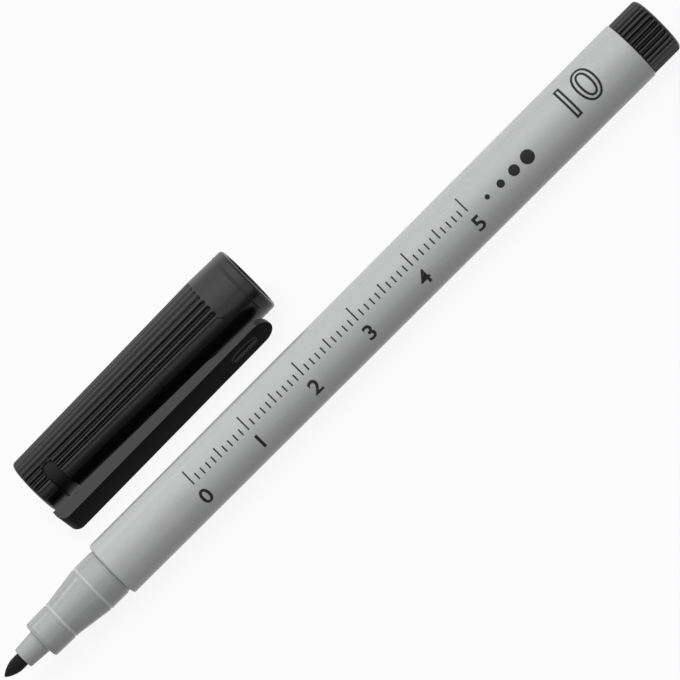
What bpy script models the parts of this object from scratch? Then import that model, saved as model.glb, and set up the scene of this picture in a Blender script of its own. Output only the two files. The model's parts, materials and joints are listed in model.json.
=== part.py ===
"""Fibre-tip marker lying on a table, with its cap taken off and laid behind it.

Lengths are in metres and +Z is up. The pen lies along X with its nib towards -X. The cap lies on its
tapered side and on its clip, with its mouth towards +X, the way round in which it goes on the pen.
Pen pieces are drawn nib up from the barrel's rear end, cap pieces mouth up from the closed end.
"""

import math

import bmesh
import bpy
from mathutils import Matrix, Vector

MM = 0.001

# Clearances that stand for the press fits of the real mouldings
FIT_GAP = 0.10 * MM
SEAT_GAP = 0.12 * MM

# Barrel, a tapered tube open at both ends
BARREL_LENGTH = 95.8 * MM
BARREL_FRONT_RADIUS = 4.25 * MM
BARREL_REAR_RADIUS = 4.50 * MM
BARREL_WALL = 0.85 * MM
BARREL_LIP_ROUND = 0.35 * MM
BARREL_REAR_ROUND = 0.18 * MM

# Front section, pressed into the barrel's front end
COLLAR_SEAT = 0.22 * MM
COLLAR_LENGTH = 3.50 * MM
CONE_LENGTH = 5.85 * MM
SEAL_ROOT_RADIUS = 2.88 * MM
SEAL_FRONT_RADIUS = 2.82 * MM
SEAL_LENGTH = 3.65 * MM
SEAL_EDGE_ROUND = 0.25 * MM
SLEEVE_TIP_WALL = 0.44 * MM
SLEEVE_FLARE = 0.23 * MM
SLEEVE_LENGTH = 3.30 * MM
SLEEVE_EDGE_ROUND = 0.12 * MM
BEAD_HEIGHT = 0.06 * MM
BEAD_WIDTH = 0.28 * MM
BEAD_CREST_WIDTH = 0.11 * MM
SPIGOT_LENGTH = 9.0 * MM
SPIGOT_CHAMFER = 0.40 * MM
SPIGOT_WALL = 0.90 * MM
NIB_CHANNEL_LENGTH = 11.0 * MM

# Nib, a fibre rod with a bullet point
NIB_RADIUS = 1.01 * MM
NIB_EXPOSED = 3.40 * MM
NIB_POINT_LENGTH = 2.30 * MM
NIB_POINT_FALL = 1.6
NIB_POINT_SWELL = 0.75
NIB_TAIL_IN_RESERVOIR = 6.0 * MM

# Ink reservoir, a fibre rod in a film sleeve that lies loosely in the barrel's bore
RESERVOIR_PLAY = 0.20 * MM
WRAP_WALL = 0.15 * MM

# End plug, pressed into the barrel's rear end
KNOB_INSET = 0.15 * MM
KNOB_LENGTH = 4.82 * MM
KNOB_ROUND = 0.65 * MM
KNOB_END_WALL = 3.44 * MM
PLUG_SPIGOT_LENGTH = 8.0 * MM
KNOB_GROOVES = 32
KNOB_GROOVE_WIDTH = 0.56 * MM
KNOB_GROOVE_DEPTH = 0.20 * MM
KNOB_GROOVE_END = 0.45 * MM

# Cap shell, a tapered cup with flutes, a vent window and the clip's root block
CAP_LENGTH = 40.27 * MM
CAP_END_RADIUS = 4.57 * MM
CAP_END_ROUND = 0.70 * MM
CAP_END_WALL = 1.20 * MM
CAP_SIDE_WALL = 0.62 * MM
CAP_LIP_WALL = 0.83 * MM
CAP_LIP_LENGTH = 1.65 * MM
CAP_LIP_ROUND = 0.50 * MM
CAP_RIDGE_HEIGHT = 0.05 * MM
CAP_RIDGE_WIDTH = 0.26 * MM
CAP_FLARE_RISE = 0.10 * MM
CAP_SMOOTH_MOUTH = 6.1 * MM
CAP_COLLAR_PLAY = 0.32 * MM
CAP_OVERLAP = 4.2 * MM
CAP_MOUTH_CHAMFER = 0.15 * MM
FLUTE_COUNT = 23
FLUTE_WIDTH = 0.70 * MM
FLUTE_DEPTH = 0.22 * MM
FLUTE_FREE_HALF_ANGLE = math.radians(59.0)
WINDOW_START = 2.77 * MM
WINDOW_WIDTH = 1.95 * MM
WINDOW_HALF_ANGLE = math.radians(78.0)
WINDOW_CORNER = 0.50 * MM
ROOT_BLOCK_WIDTH = 2.2 * MM
ROOT_BLOCK_START = 0.35 * MM

# Inner cap, the cup that closes round the sealing seat
INNER_CAP_WALL = 0.45 * MM
INNER_CAP_BASE = 1.0 * MM
INNER_CAP_PLAY = 0.10 * MM
INNER_CAP_LIP_ROUND = 0.18 * MM

# Pocket clip, a bar that stands off the cap shell
CLIP_TIP_SETBACK = 2.05 * MM
CLIP_WIDTH = 4.40 * MM
CLIP_GAP = 0.77 * MM
CLIP_THICKNESS = 2.25 * MM
CLIP_INNER_RISE = 0.30 * MM
CLIP_OUTER_FALL = 0.62 * MM
CLIP_ROOT_ROUND = 1.50 * MM
CLIP_TIP_LENGTH = 7.2 * MM
CLIP_TIP_RELIEF = 0.50 * MM
CLIP_RELIEF_SLOPE = 2.1 * MM
CLIP_EDGE_ROUND = 0.20 * MM
DIMPLE_LENGTH = 4.5 * MM
DIMPLE_WIDTH = 2.4 * MM
DIMPLE_DEPTH = 0.15 * MM
DIMPLE_FROM_TIP = 5.2 * MM

# Where the cap lies beside the pen
CAP_MOUTH_BEHIND_NIB = 59.2 * MM
CAP_BESIDE_PEN = 21.75 * MM
CAP_YAW = math.radians(-1.8)

# Facets of the turned pieces, of the arcs in their outlines and of the cutters
BARREL_STEPS = 64
FRONT_STEPS = 48
NIB_STEPS = 24
INNER_STEPS = 32
CAP_STEPS = 72
GROOVE_STEPS = 12
ARC_STEPS = 4
SMALL_ARC_STEPS = 3
ROOT_ARC_STEPS = 6
NIB_POINT_STEPS = 8
TIP_ARC_STEPS = 16
WINDOW_STEPS = 24
DIMPLE_SEGMENTS = 20
DIMPLE_RINGS = 10
EDGE_SEGMENTS = 2

# Size at which an empty is drawn
EMPTY_SIZE = 5.0 * MM

# Limits that tell apart seams, sharp edges and the window's ends
WELD_DISTANCE = 0.001 * MM
SHARP_ANGLE = math.radians(35.0)
CLIP_EDGE_ANGLE = math.radians(40.0)
WINDOW_END_TOLERANCE = math.radians(0.1)

# Radii of the pen that follow from its fits
BARREL_BORE_RADIUS = BARREL_FRONT_RADIUS - BARREL_WALL
COLLAR_RADIUS = BARREL_BORE_RADIUS + COLLAR_SEAT
SPIGOT_RADIUS = BARREL_BORE_RADIUS - FIT_GAP
SPIGOT_BORE_RADIUS = SPIGOT_RADIUS - SPIGOT_WALL
NIB_HOLE_RADIUS = NIB_RADIUS + FIT_GAP
SLEEVE_TIP_RADIUS = NIB_HOLE_RADIUS + SLEEVE_TIP_WALL
SLEEVE_ROOT_RADIUS = SLEEVE_TIP_RADIUS + SLEEVE_FLARE
WRAP_RADIUS = BARREL_BORE_RADIUS - RESERVOIR_PLAY
RESERVOIR_RADIUS = WRAP_RADIUS - WRAP_WALL - FIT_GAP
KNOB_RADIUS = BARREL_REAR_RADIUS - KNOB_INSET

# Levels along the pen, from the barrel's rear end towards the nib
RIM_LEVEL = BARREL_LENGTH
COLLAR_TOP = RIM_LEVEL + COLLAR_LENGTH
CONE_TOP = COLLAR_TOP + CONE_LENGTH
SEAL_TOP = CONE_TOP + SEAL_LENGTH
SLEEVE_TOP = SEAL_TOP + SLEEVE_LENGTH
NIB_TOP = SLEEVE_TOP + NIB_EXPOSED
SPIGOT_FOOT = RIM_LEVEL - SPIGOT_LENGTH
RESERVOIR_TOP = SPIGOT_FOOT - SEAT_GAP
RESERVOIR_FOOT = PLUG_SPIGOT_LENGTH + SEAT_GAP
NIB_FOOT = RESERVOIR_TOP - NIB_TAIL_IN_RESERVOIR

# Radii of the cap that follow from the pen it closes
CAP_MOUTH_RADIUS = BARREL_FRONT_RADIUS + FIT_GAP
CAP_LIP_RADIUS = CAP_MOUTH_RADIUS + CAP_LIP_WALL
CAP_FLARE_RADIUS = CAP_LIP_RADIUS + CAP_FLARE_RISE
CAP_BORE_FRONT_RADIUS = COLLAR_RADIUS + BEAD_HEIGHT + CAP_COLLAR_PLAY
CAP_BORE_END_RADIUS = CAP_END_RADIUS - CAP_SIDE_WALL
INNER_CAP_END_RADIUS = CAP_BORE_END_RADIUS - INNER_CAP_PLAY
INNER_CAP_BORE_RADIUS = SEAL_ROOT_RADIUS + BEAD_HEIGHT + FIT_GAP
CLIP_INNER_RADIUS = CAP_FLARE_RADIUS + CLIP_GAP
CLIP_OUTER_RADIUS = CLIP_INNER_RADIUS + CLIP_THICKNESS
CLIP_TIP_OUTER_RADIUS = CLIP_OUTER_RADIUS - CLIP_OUTER_FALL

# Levels along the cap, from its closed end towards its mouth; closed, its shoulder stops the barrel's rim
CAP_SHOULDER = CAP_LENGTH - CAP_OVERLAP
CAP_LIP_FOOT = CAP_LENGTH - CAP_LIP_LENGTH
FLUTE_TOP = CAP_LENGTH - CAP_SMOOTH_MOUTH
SEATED_CONE_TOP = CAP_SHOULDER + SEAT_GAP - COLLAR_LENGTH - CONE_LENGTH
INNER_CAP_TOP = SEATED_CONE_TOP - SEAT_GAP
INNER_CAP_FOOT = CAP_END_WALL + SEAT_GAP
CLIP_LENGTH = CAP_LENGTH - CLIP_TIP_SETBACK
CAP_TAPER = math.atan2(CAP_FLARE_RADIUS - CAP_END_RADIUS, FLUTE_TOP - CAP_END_ROUND)


def clear_scene():
    """Remove every object so that only the marker is left."""
    for item in list(bpy.data.objects):
        bpy.data.objects.remove(item, do_unlink=True)


def make_collection(name):
    """Return a new collection linked to the scene."""
    collection = bpy.data.collections.new(name)
    bpy.context.scene.collection.children.link(collection)
    return collection


def make_material(name, colour, roughness):
    """Return a plain Principled material, not metallic."""
    material = bpy.data.materials.new(name)
    material.use_nodes = True
    shader = material.node_tree.nodes["Principled BSDF"]
    shader.inputs["Base Color"].default_value = (*colour, 1.0)
    shader.inputs["Roughness"].default_value = roughness
    shader.inputs["Metallic"].default_value = 0.0
    return material


def arc(centre, radius, start, end, points=ARC_STEPS):
    """Return (radius, level) points of an arc between two angles in degrees, both ends included."""
    angles = [math.radians(start + (end - start) * i / points) for i in range(points + 1)]
    return [(centre[0] + radius * math.cos(a), centre[1] + radius * math.sin(a)) for a in angles]


def bead(radius, level):
    """Return the outline of a low bead that marks a step of the front section."""
    foot = BEAD_WIDTH / 2
    crest = BEAD_CREST_WIDTH / 2
    top = radius + BEAD_HEIGHT
    return [(radius, level + foot), (top, level + crest), (top, level - crest), (radius, level - foot)]


def mesh_object(name, mesh, collection):
    """Return an object that holds the mesh."""
    item = bpy.data.objects.new(name, mesh)
    collection.objects.link(item)
    return item


def baked(item):
    """Replace an object by a plain mesh of what its curve or modifiers make."""
    bpy.context.view_layer.update()
    evaluated = item.evaluated_get(bpy.context.evaluated_depsgraph_get())
    mesh = bpy.data.meshes.new_from_object(evaluated)
    name = item.name
    collection = item.users_collection[0]
    bpy.data.objects.remove(item, do_unlink=True)
    return mesh_object(name, mesh, collection)


def welded(item):
    """Weld the seams of a baked outline, such as the loose caps of an extruded curve."""
    work = bmesh.new()
    work.from_mesh(item.data)
    bmesh.ops.remove_doubles(work, verts=work.verts, dist=WELD_DISTANCE)
    work.to_mesh(item.data)
    work.free()
    return item


def turned(name, outline, steps, collection, closed=False):
    """Turn an outline of (radius, level) points about Z; its outer side runs from top to bottom."""
    mesh = bpy.data.meshes.new(name)
    edges = [(i, i + 1) for i in range(len(outline) - 1)]
    if closed:
        edges.append((len(outline) - 1, 0))
    mesh.from_pydata([(radius, 0.0, level) for radius, level in outline], edges, [])
    item = mesh_object(name, mesh, collection)
    screw = item.modifiers.new("turn", "SCREW")
    screw.axis = "Z"
    screw.steps = steps
    screw.render_steps = steps
    screw.use_merge_vertices = True
    screw.merge_threshold = WELD_DISTANCE
    return welded(baked(item))


def extruded(name, outline, thickness, collection):
    """Extrude a flat outline of (x, y) points by a thickness centred on its plane."""
    curve = bpy.data.curves.new(name, "CURVE")
    curve.dimensions = "2D"
    curve.fill_mode = "BOTH"
    curve.extrude = thickness / 2
    spline = curve.splines.new("POLY")
    spline.points.add(len(outline) - 1)
    for point, (x, y) in zip(spline.points, outline):
        point.co = (x, y, 0.0, 1.0)
    spline.use_cyclic_u = True
    item = bpy.data.objects.new(name, curve)
    collection.objects.link(item)
    return welded(baked(item))


def placed_mesh(item, matrix):
    """Move an object's mesh by a matrix, so that the object itself stays at the origin."""
    item.data.transform(matrix)
    return item


def boolean(item, cutter, operation):
    """Add a Boolean with the cutter to an object."""
    modifier = item.modifiers.new(cutter.name, "BOOLEAN")
    modifier.operation = operation
    modifier.solver = "EXACT"
    modifier.object = cutter
    cutter.hide_render = True
    cutter.display_type = "WIRE"


def finish_part(item, material, parent):
    """Bake a piece, shade its round faces smooth, give it its material and hang it on its parent."""
    plain = baked(item)
    plain.data.shade_smooth()
    plain.data.set_sharp_from_angle(angle=SHARP_ANGLE)
    plain.data.materials.clear()
    plain.data.materials.append(material)
    plain.parent = parent
    return plain


def groove_radius(width, depth):
    """Return the radius of the round cutter that leaves a groove of this width and depth."""
    return width * width / (8 * depth) + depth / 2


def groove_cutters(name, angles, width, depth, surface_low, surface_high, collection):
    """Return one cutter of round-ended rods that follow a cone's surface, one at each angle.

    surface_low and surface_high are (radius, level) points of the surface. The rods' round ends stop
    at the high point and their flat ends run past the low point by a groove's width.
    """
    rod_radius = groove_radius(width, depth)
    rise = rod_radius - depth
    run = Vector((surface_high[0] - surface_low[0], 0.0, surface_high[1] - surface_low[1]))
    length = run.length + width
    dome = arc((0.0, length - rod_radius), rod_radius, 90.0, 0.0, SMALL_ARC_STEPS)
    outline = [(0.0, length)] + dome[1:] + [(rod_radius, 0.0), (0.0, 0.0)]
    rod = turned(f"{name}_rod", outline, GROOVE_STEPS, collection)
    along = run.normalized()
    start = Vector((surface_low[0] + rise, 0.0, surface_low[1])) - along * width
    lean = Vector((0.0, 0.0, 1.0)).rotation_difference(along).to_matrix().to_4x4()
    placed_mesh(rod, Matrix.Translation(start) @ lean)
    work = bmesh.new()
    for angle in angles:
        first = len(work.verts)
        work.from_mesh(rod.data)
        work.verts.ensure_lookup_table()
        turn = Matrix.Rotation(angle, 3, "Z")
        bmesh.ops.rotate(work, verts=work.verts[first:], cent=(0.0, 0.0, 0.0), matrix=turn)
    bpy.data.objects.remove(rod, do_unlink=True)
    mesh = bpy.data.meshes.new(name)
    work.to_mesh(mesh)
    work.free()
    return mesh_object(name, mesh, collection)


def build_barrel(parts):
    """Turn the barrel: a rounded front lip, a slight taper to the rear and a straight bore."""
    lip = (BARREL_FRONT_RADIUS - BARREL_LIP_ROUND, RIM_LEVEL - BARREL_LIP_ROUND)
    heel = (BARREL_REAR_RADIUS - BARREL_REAR_ROUND, BARREL_REAR_ROUND)
    outline = [(BARREL_BORE_RADIUS, RIM_LEVEL)]
    outline += arc(lip, BARREL_LIP_ROUND, 90.0, 0.0)
    outline += arc(heel, BARREL_REAR_ROUND, 0.0, -90.0)
    outline += [(BARREL_BORE_RADIUS, 0.0)]
    return turned("barrel", outline, BARREL_STEPS, parts, closed=True)


def build_front_section(parts):
    """Turn the front section: nib sleeve, sealing seat, cone, collar and the spigot in the barrel."""
    shoulder = RIM_LEVEL + SEAT_GAP
    sleeve_edge = (SLEEVE_TIP_RADIUS - SLEEVE_EDGE_ROUND, SLEEVE_TOP - SLEEVE_EDGE_ROUND)
    seal_edge = (SEAL_FRONT_RADIUS - SEAL_EDGE_ROUND, SEAL_TOP - SEAL_EDGE_ROUND)
    outline = [(NIB_HOLE_RADIUS, SLEEVE_TOP)]
    outline += arc(sleeve_edge, SLEEVE_EDGE_ROUND, 90.0, 0.0, SMALL_ARC_STEPS)
    outline += [(SLEEVE_ROOT_RADIUS, SEAL_TOP)]
    outline += arc(seal_edge, SEAL_EDGE_ROUND, 90.0, 0.0, SMALL_ARC_STEPS)
    outline += bead(SEAL_ROOT_RADIUS, CONE_TOP)
    outline += bead(COLLAR_RADIUS, COLLAR_TOP)
    outline += [(COLLAR_RADIUS, shoulder), (SPIGOT_RADIUS, shoulder)]
    outline += [(SPIGOT_RADIUS, SPIGOT_FOOT + SPIGOT_CHAMFER), (SPIGOT_RADIUS - SPIGOT_CHAMFER, SPIGOT_FOOT)]
    funnel_top = SLEEVE_TOP - NIB_CHANNEL_LENGTH
    funnel_foot = funnel_top - (SPIGOT_BORE_RADIUS - NIB_HOLE_RADIUS)
    outline += [(SPIGOT_BORE_RADIUS, SPIGOT_FOOT), (SPIGOT_BORE_RADIUS, funnel_foot)]
    outline += [(NIB_HOLE_RADIUS, funnel_top)]
    return turned("front_section", outline, FRONT_STEPS, parts, closed=True)


def build_nib(parts):
    """Turn the nib: a slim bullet point on a rod that reaches into the reservoir."""
    outline = []
    for i in range(NIB_POINT_STEPS + 1):
        share = math.cos(math.pi / 2 * i / NIB_POINT_STEPS)
        radius = NIB_RADIUS * (1.0 - share ** NIB_POINT_FALL) ** NIB_POINT_SWELL
        outline.append((radius, NIB_TOP - NIB_POINT_LENGTH * (1.0 - share)))
    outline += [(NIB_RADIUS, NIB_FOOT), (0.0, NIB_FOOT)]
    return turned("nib", outline, NIB_STEPS, parts)


def build_reservoir(parts):
    """Turn the fibre rod that holds the ink, with a blind hole for the nib's tail."""
    hole_foot = NIB_FOOT - SEAT_GAP
    outline = [(0.0, hole_foot), (NIB_HOLE_RADIUS, hole_foot), (NIB_HOLE_RADIUS, RESERVOIR_TOP)]
    outline += [(RESERVOIR_RADIUS, RESERVOIR_TOP), (RESERVOIR_RADIUS, RESERVOIR_FOOT), (0.0, RESERVOIR_FOOT)]
    return turned("ink_reservoir", outline, INNER_STEPS, parts)


def build_wrap(parts):
    """Turn the film sleeve round the fibre rod, open at both ends."""
    inner = WRAP_RADIUS - WRAP_WALL
    outline = [(inner, RESERVOIR_TOP), (WRAP_RADIUS, RESERVOIR_TOP)]
    outline += [(WRAP_RADIUS, RESERVOIR_FOOT), (inner, RESERVOIR_FOOT)]
    return turned("reservoir_wrap", outline, INNER_STEPS, parts, closed=True)


def build_end_plug(parts, cutters):
    """Turn the end plug and cut the axial grooves that leave its ribs."""
    knob_top = -SEAT_GAP
    knob_foot = knob_top - KNOB_LENGTH
    edge = (KNOB_RADIUS - KNOB_ROUND, knob_foot + KNOB_ROUND)
    hollow_foot = knob_foot + KNOB_END_WALL
    spigot_top = PLUG_SPIGOT_LENGTH
    outline = [(0.0, hollow_foot), (SPIGOT_BORE_RADIUS, hollow_foot), (SPIGOT_BORE_RADIUS, spigot_top)]
    outline += [(SPIGOT_RADIUS - SPIGOT_CHAMFER, spigot_top), (SPIGOT_RADIUS, spigot_top - SPIGOT_CHAMFER)]
    outline += [(SPIGOT_RADIUS, knob_top), (KNOB_RADIUS, knob_top)]
    outline += arc(edge, KNOB_ROUND, 0.0, -90.0)
    outline += [(0.0, knob_foot)]
    plug = turned("end_plug", outline, BARREL_STEPS, parts)
    angles = [2 * math.pi * i / KNOB_GROOVES for i in range(KNOB_GROOVES)]
    low = (KNOB_RADIUS, -knob_top)
    high = (KNOB_RADIUS, -knob_foot - KNOB_GROOVE_END)
    grooves = groove_cutters("knob_grooves", angles, KNOB_GROOVE_WIDTH, KNOB_GROOVE_DEPTH, low, high, cutters)
    placed_mesh(grooves, Matrix.Rotation(math.pi, 4, "X"))
    boolean(plug, grooves, "DIFFERENCE")
    return plug


def cap_surface_radius(level):
    """Return the radius of the cap's tapered outside at a level above its closed end."""
    return CAP_END_RADIUS + (level - CAP_END_ROUND) * math.tan(CAP_TAPER)


def on_window_end(vertex):
    """Say whether a vertex lies on one of the two flat ends of the window's band."""
    return abs(abs(math.atan2(vertex.co.y, vertex.co.x)) - WINDOW_HALF_ANGLE) < WINDOW_END_TOLERANCE


def window_cutter(cutters):
    """Return the cutter of the vent window, a band of a ring that spreads to both sides of the clip."""
    outside = CAP_FLARE_RADIUS + WINDOW_WIDTH
    inside = CAP_BORE_END_RADIUS - WINDOW_WIDTH
    half = math.degrees(WINDOW_HALF_ANGLE)
    sweep = arc((0.0, 0.0), outside, -half, half, WINDOW_STEPS)
    sweep += arc((0.0, 0.0), inside, half, -half, WINDOW_STEPS)
    band = extruded("vent_window", sweep, WINDOW_WIDTH, cutters)
    work = bmesh.new()
    work.from_mesh(band.data)
    corners = []
    for edge in work.edges:
        first, second = edge.verts
        level = abs(first.co.z - second.co.z) < WELD_DISTANCE
        if level and on_window_end(first) and on_window_end(second) and first.co.y * second.co.y > 0:
            corners.append(edge)
    bmesh.ops.bevel(work, geom=corners, offset=WINDOW_CORNER, segments=SMALL_ARC_STEPS, profile=0.5,
                    affect="EDGES")
    work.to_mesh(band.data)
    work.free()
    return placed_mesh(band, Matrix.Translation((0.0, 0.0, WINDOW_START + WINDOW_WIDTH / 2)))


def root_block(cutters):
    """Return the block that carries the clip; the vent window trims its end."""
    inner = (CAP_BORE_END_RADIUS + CAP_END_RADIUS) / 2
    outer = CLIP_INNER_RADIUS - SEAT_GAP
    end = WINDOW_START + WINDOW_WIDTH / 2
    size = Vector((outer - inner, ROOT_BLOCK_WIDTH, end - ROOT_BLOCK_START))
    centre = Vector(((inner + outer) / 2, 0.0, (end + ROOT_BLOCK_START) / 2))
    mesh = bpy.data.meshes.new("clip_root")
    work = bmesh.new()
    bmesh.ops.create_cube(work, size=1.0, matrix=Matrix.Translation(centre) @ Matrix.Diagonal((*size, 1.0)))
    work.to_mesh(mesh)
    work.free()
    return mesh_object("clip_root", mesh, cutters)


def build_cap_shell(parts, cutters):
    """Turn the cap's cup with its ridge by the lip, add the clip's block, cut the flutes and the window."""
    lip_edge = (CAP_LIP_RADIUS - CAP_LIP_ROUND, CAP_LENGTH - CAP_LIP_ROUND)
    end_edge = (CAP_END_RADIUS - CAP_END_ROUND, CAP_END_ROUND)
    outline = [(0.0, CAP_END_WALL), (CAP_BORE_END_RADIUS, CAP_END_WALL)]
    outline += [(CAP_BORE_FRONT_RADIUS, CAP_SHOULDER), (CAP_MOUTH_RADIUS, CAP_SHOULDER)]
    outline += [(CAP_MOUTH_RADIUS, CAP_LENGTH - CAP_MOUTH_CHAMFER)]
    outline += [(CAP_MOUTH_RADIUS + CAP_MOUTH_CHAMFER, CAP_LENGTH)]
    outline += arc(lip_edge, CAP_LIP_ROUND, 90.0, 0.0)
    crest = CAP_LIP_RADIUS + CAP_RIDGE_HEIGHT
    outline += [(CAP_LIP_RADIUS, CAP_LIP_FOOT + CAP_RIDGE_WIDTH), (crest, CAP_LIP_FOOT + CAP_RIDGE_WIDTH / 2)]
    outline += [(crest, CAP_LIP_FOOT), (CAP_LIP_RADIUS, CAP_LIP_FOOT - CAP_RIDGE_HEIGHT)]
    outline += [(CAP_FLARE_RADIUS, FLUTE_TOP)]
    outline += arc(end_edge, CAP_END_ROUND, 0.0, -90.0)
    outline += [(0.0, 0.0)]
    shell = turned("cap_shell", outline, CAP_STEPS, parts)
    fluted = 2 * math.pi - 2 * FLUTE_FREE_HALF_ANGLE
    step = fluted / (FLUTE_COUNT - 1)
    angles = [FLUTE_FREE_HALF_ANGLE + step * i for i in range(FLUTE_COUNT)]
    low = (cap_surface_radius(0.0), 0.0)
    high = (CAP_FLARE_RADIUS, FLUTE_TOP)
    flutes = groove_cutters("flutes", angles, FLUTE_WIDTH, FLUTE_DEPTH, low, high, cutters)
    boolean(shell, root_block(cutters), "UNION")
    boolean(shell, flutes, "DIFFERENCE")
    boolean(shell, window_cutter(cutters), "DIFFERENCE")
    return shell


def build_inner_cap(parts):
    """Turn the inner cap, a cup whose mouth closes round the sealing seat of the front section."""
    lip = INNER_CAP_BORE_RADIUS + INNER_CAP_WALL
    floor = INNER_CAP_FOOT + INNER_CAP_BASE
    edge = (lip - INNER_CAP_LIP_ROUND, INNER_CAP_TOP - INNER_CAP_LIP_ROUND)
    outline = [(0.0, floor), (INNER_CAP_END_RADIUS - INNER_CAP_WALL, floor)]
    outline += [(INNER_CAP_BORE_RADIUS, INNER_CAP_TOP)]
    outline += arc(edge, INNER_CAP_LIP_ROUND, 90.0, 0.0, SMALL_ARC_STEPS)
    outline += [(INNER_CAP_END_RADIUS, INNER_CAP_FOOT), (0.0, INNER_CAP_FOOT)]
    return turned("inner_cap", outline, FRONT_STEPS, parts)


def clip_side_outline():
    """Return the clip's side view as (level, radius) points, closed end first along its outer face."""
    corner = (CLIP_ROOT_ROUND, CLIP_OUTER_RADIUS - CLIP_ROOT_ROUND)
    inner = CLIP_INNER_RADIUS + CLIP_INNER_RISE
    relief = inner + CLIP_TIP_RELIEF
    relief_end = CLIP_LENGTH - CLIP_TIP_LENGTH
    outline = arc(corner, CLIP_ROOT_ROUND, 180.0, 90.0, ROOT_ARC_STEPS)
    outline += [(CLIP_LENGTH, CLIP_TIP_OUTER_RADIUS), (CLIP_LENGTH, relief), (relief_end, relief)]
    outline += [(relief_end - CLIP_RELIEF_SLOPE, inner), (0.0, CLIP_INNER_RADIUS)]
    return outline


def clip_plan_outline():
    """Return the clip's outer view as (level, y) points, with a half-round free end."""
    half = CLIP_WIDTH / 2
    outline = arc((CLIP_LENGTH - half, 0.0), half, 90.0, -90.0, TIP_ARC_STEPS)
    outline += [(-half, -half), (-half, half)]
    return outline


def dimple_cutter(cutters):
    """Return the flattened ball that presses the oval dimple into the clip's outer face."""
    mesh = bpy.data.meshes.new("clip_dimple")
    work = bmesh.new()
    bmesh.ops.create_uvsphere(work, u_segments=DIMPLE_SEGMENTS, v_segments=DIMPLE_RINGS, radius=1.0)
    scale = Matrix.Diagonal((2 * DIMPLE_DEPTH, DIMPLE_WIDTH / 2, DIMPLE_LENGTH / 2, 1.0))
    lean = math.atan2(CLIP_OUTER_FALL, CLIP_LENGTH - CLIP_ROOT_ROUND)
    face = CLIP_TIP_OUTER_RADIUS + DIMPLE_FROM_TIP * math.tan(lean)
    sit = Matrix.Translation((face + DIMPLE_DEPTH, 0.0, CLIP_LENGTH - DIMPLE_FROM_TIP))
    bmesh.ops.transform(work, matrix=sit @ Matrix.Rotation(-lean, 4, "Y") @ scale, verts=work.verts)
    work.to_mesh(mesh)
    work.free()
    return mesh_object("clip_dimple", mesh, cutters)


def build_clip(parts, cutters):
    """Cross the clip's side view with its outer view, round its edges and press in its thumb dimple."""
    upright = Matrix(((0, 1, 0, 0), (0, 0, 1, 0), (1, 0, 0, 0), (0, 0, 0, 1)))
    clip = placed_mesh(extruded("pocket_clip", clip_side_outline(), CLIP_WIDTH, parts), upright)
    facing = Matrix(((0, 0, 1, 0), (0, 1, 0, 0), (1, 0, 0, 0), (0, 0, 0, 1)))
    plan = extruded("clip_plan", clip_plan_outline(), 4 * CLIP_THICKNESS, cutters)
    placed_mesh(plan, Matrix.Translation((CLIP_OUTER_RADIUS, 0.0, 0.0)) @ facing)
    boolean(clip, plan, "INTERSECT")
    rounding = clip.modifiers.new("edges", "BEVEL")
    rounding.width = CLIP_EDGE_ROUND
    rounding.segments = EDGE_SEGMENTS
    rounding.limit_method = "ANGLE"
    rounding.angle_limit = CLIP_EDGE_ANGLE
    boolean(clip, dimple_cutter(cutters), "DIFFERENCE")
    return clip


def make_empty(name, collection, parent=None):
    """Return an empty that carries pieces."""
    empty = bpy.data.objects.new(name, None)
    empty.empty_display_size = EMPTY_SIZE
    collection.objects.link(empty)
    empty.parent = parent
    return empty


def cap_rest_matrix():
    """Return how the cap lies: on its tapered side and its clip's lower edge, its mouth towards +X."""
    edge = math.hypot(CLIP_OUTER_RADIUS, CLIP_WIDTH / 2)
    axis_height = CAP_END_RADIUS + CLIP_ROOT_ROUND * math.tan(CAP_TAPER)
    roll = math.asin(axis_height / edge) - math.atan2(CLIP_WIDTH / 2, CLIP_OUTER_RADIUS)
    clip_to_front = Matrix(((0, 0, 1), (-1, 0, 0), (0, -1, 0)))
    turn = Matrix.Rotation(CAP_YAW, 3, "Z") @ Matrix.Rotation(-CAP_TAPER, 3, "Y")
    turn = turn @ Matrix.Rotation(roll, 3, "X") @ clip_to_front
    mouth = Vector((CAP_MOUTH_BEHIND_NIB, CAP_BESIDE_PEN, 0.0))
    start = mouth - turn @ Vector((0.0, 0.0, CAP_LENGTH))
    return Matrix.Translation(start) @ turn.to_4x4()


def world_corners(items):
    """Return the lowest and highest corners of some pieces in the world."""
    bpy.context.view_layer.update()
    points = [item.matrix_world @ vertex.co for item in items for vertex in item.data.vertices]
    low = Vector([min(p[i] for p in points) for i in range(3)])
    high = Vector([max(p[i] for p in points) for i in range(3)])
    return low, high


def rest_on_table(carrier, items):
    """Lower or lift a carrier so that its pieces touch the table at Z = 0."""
    low, _ = world_corners(items)
    carrier.location.z -= low.z


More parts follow.
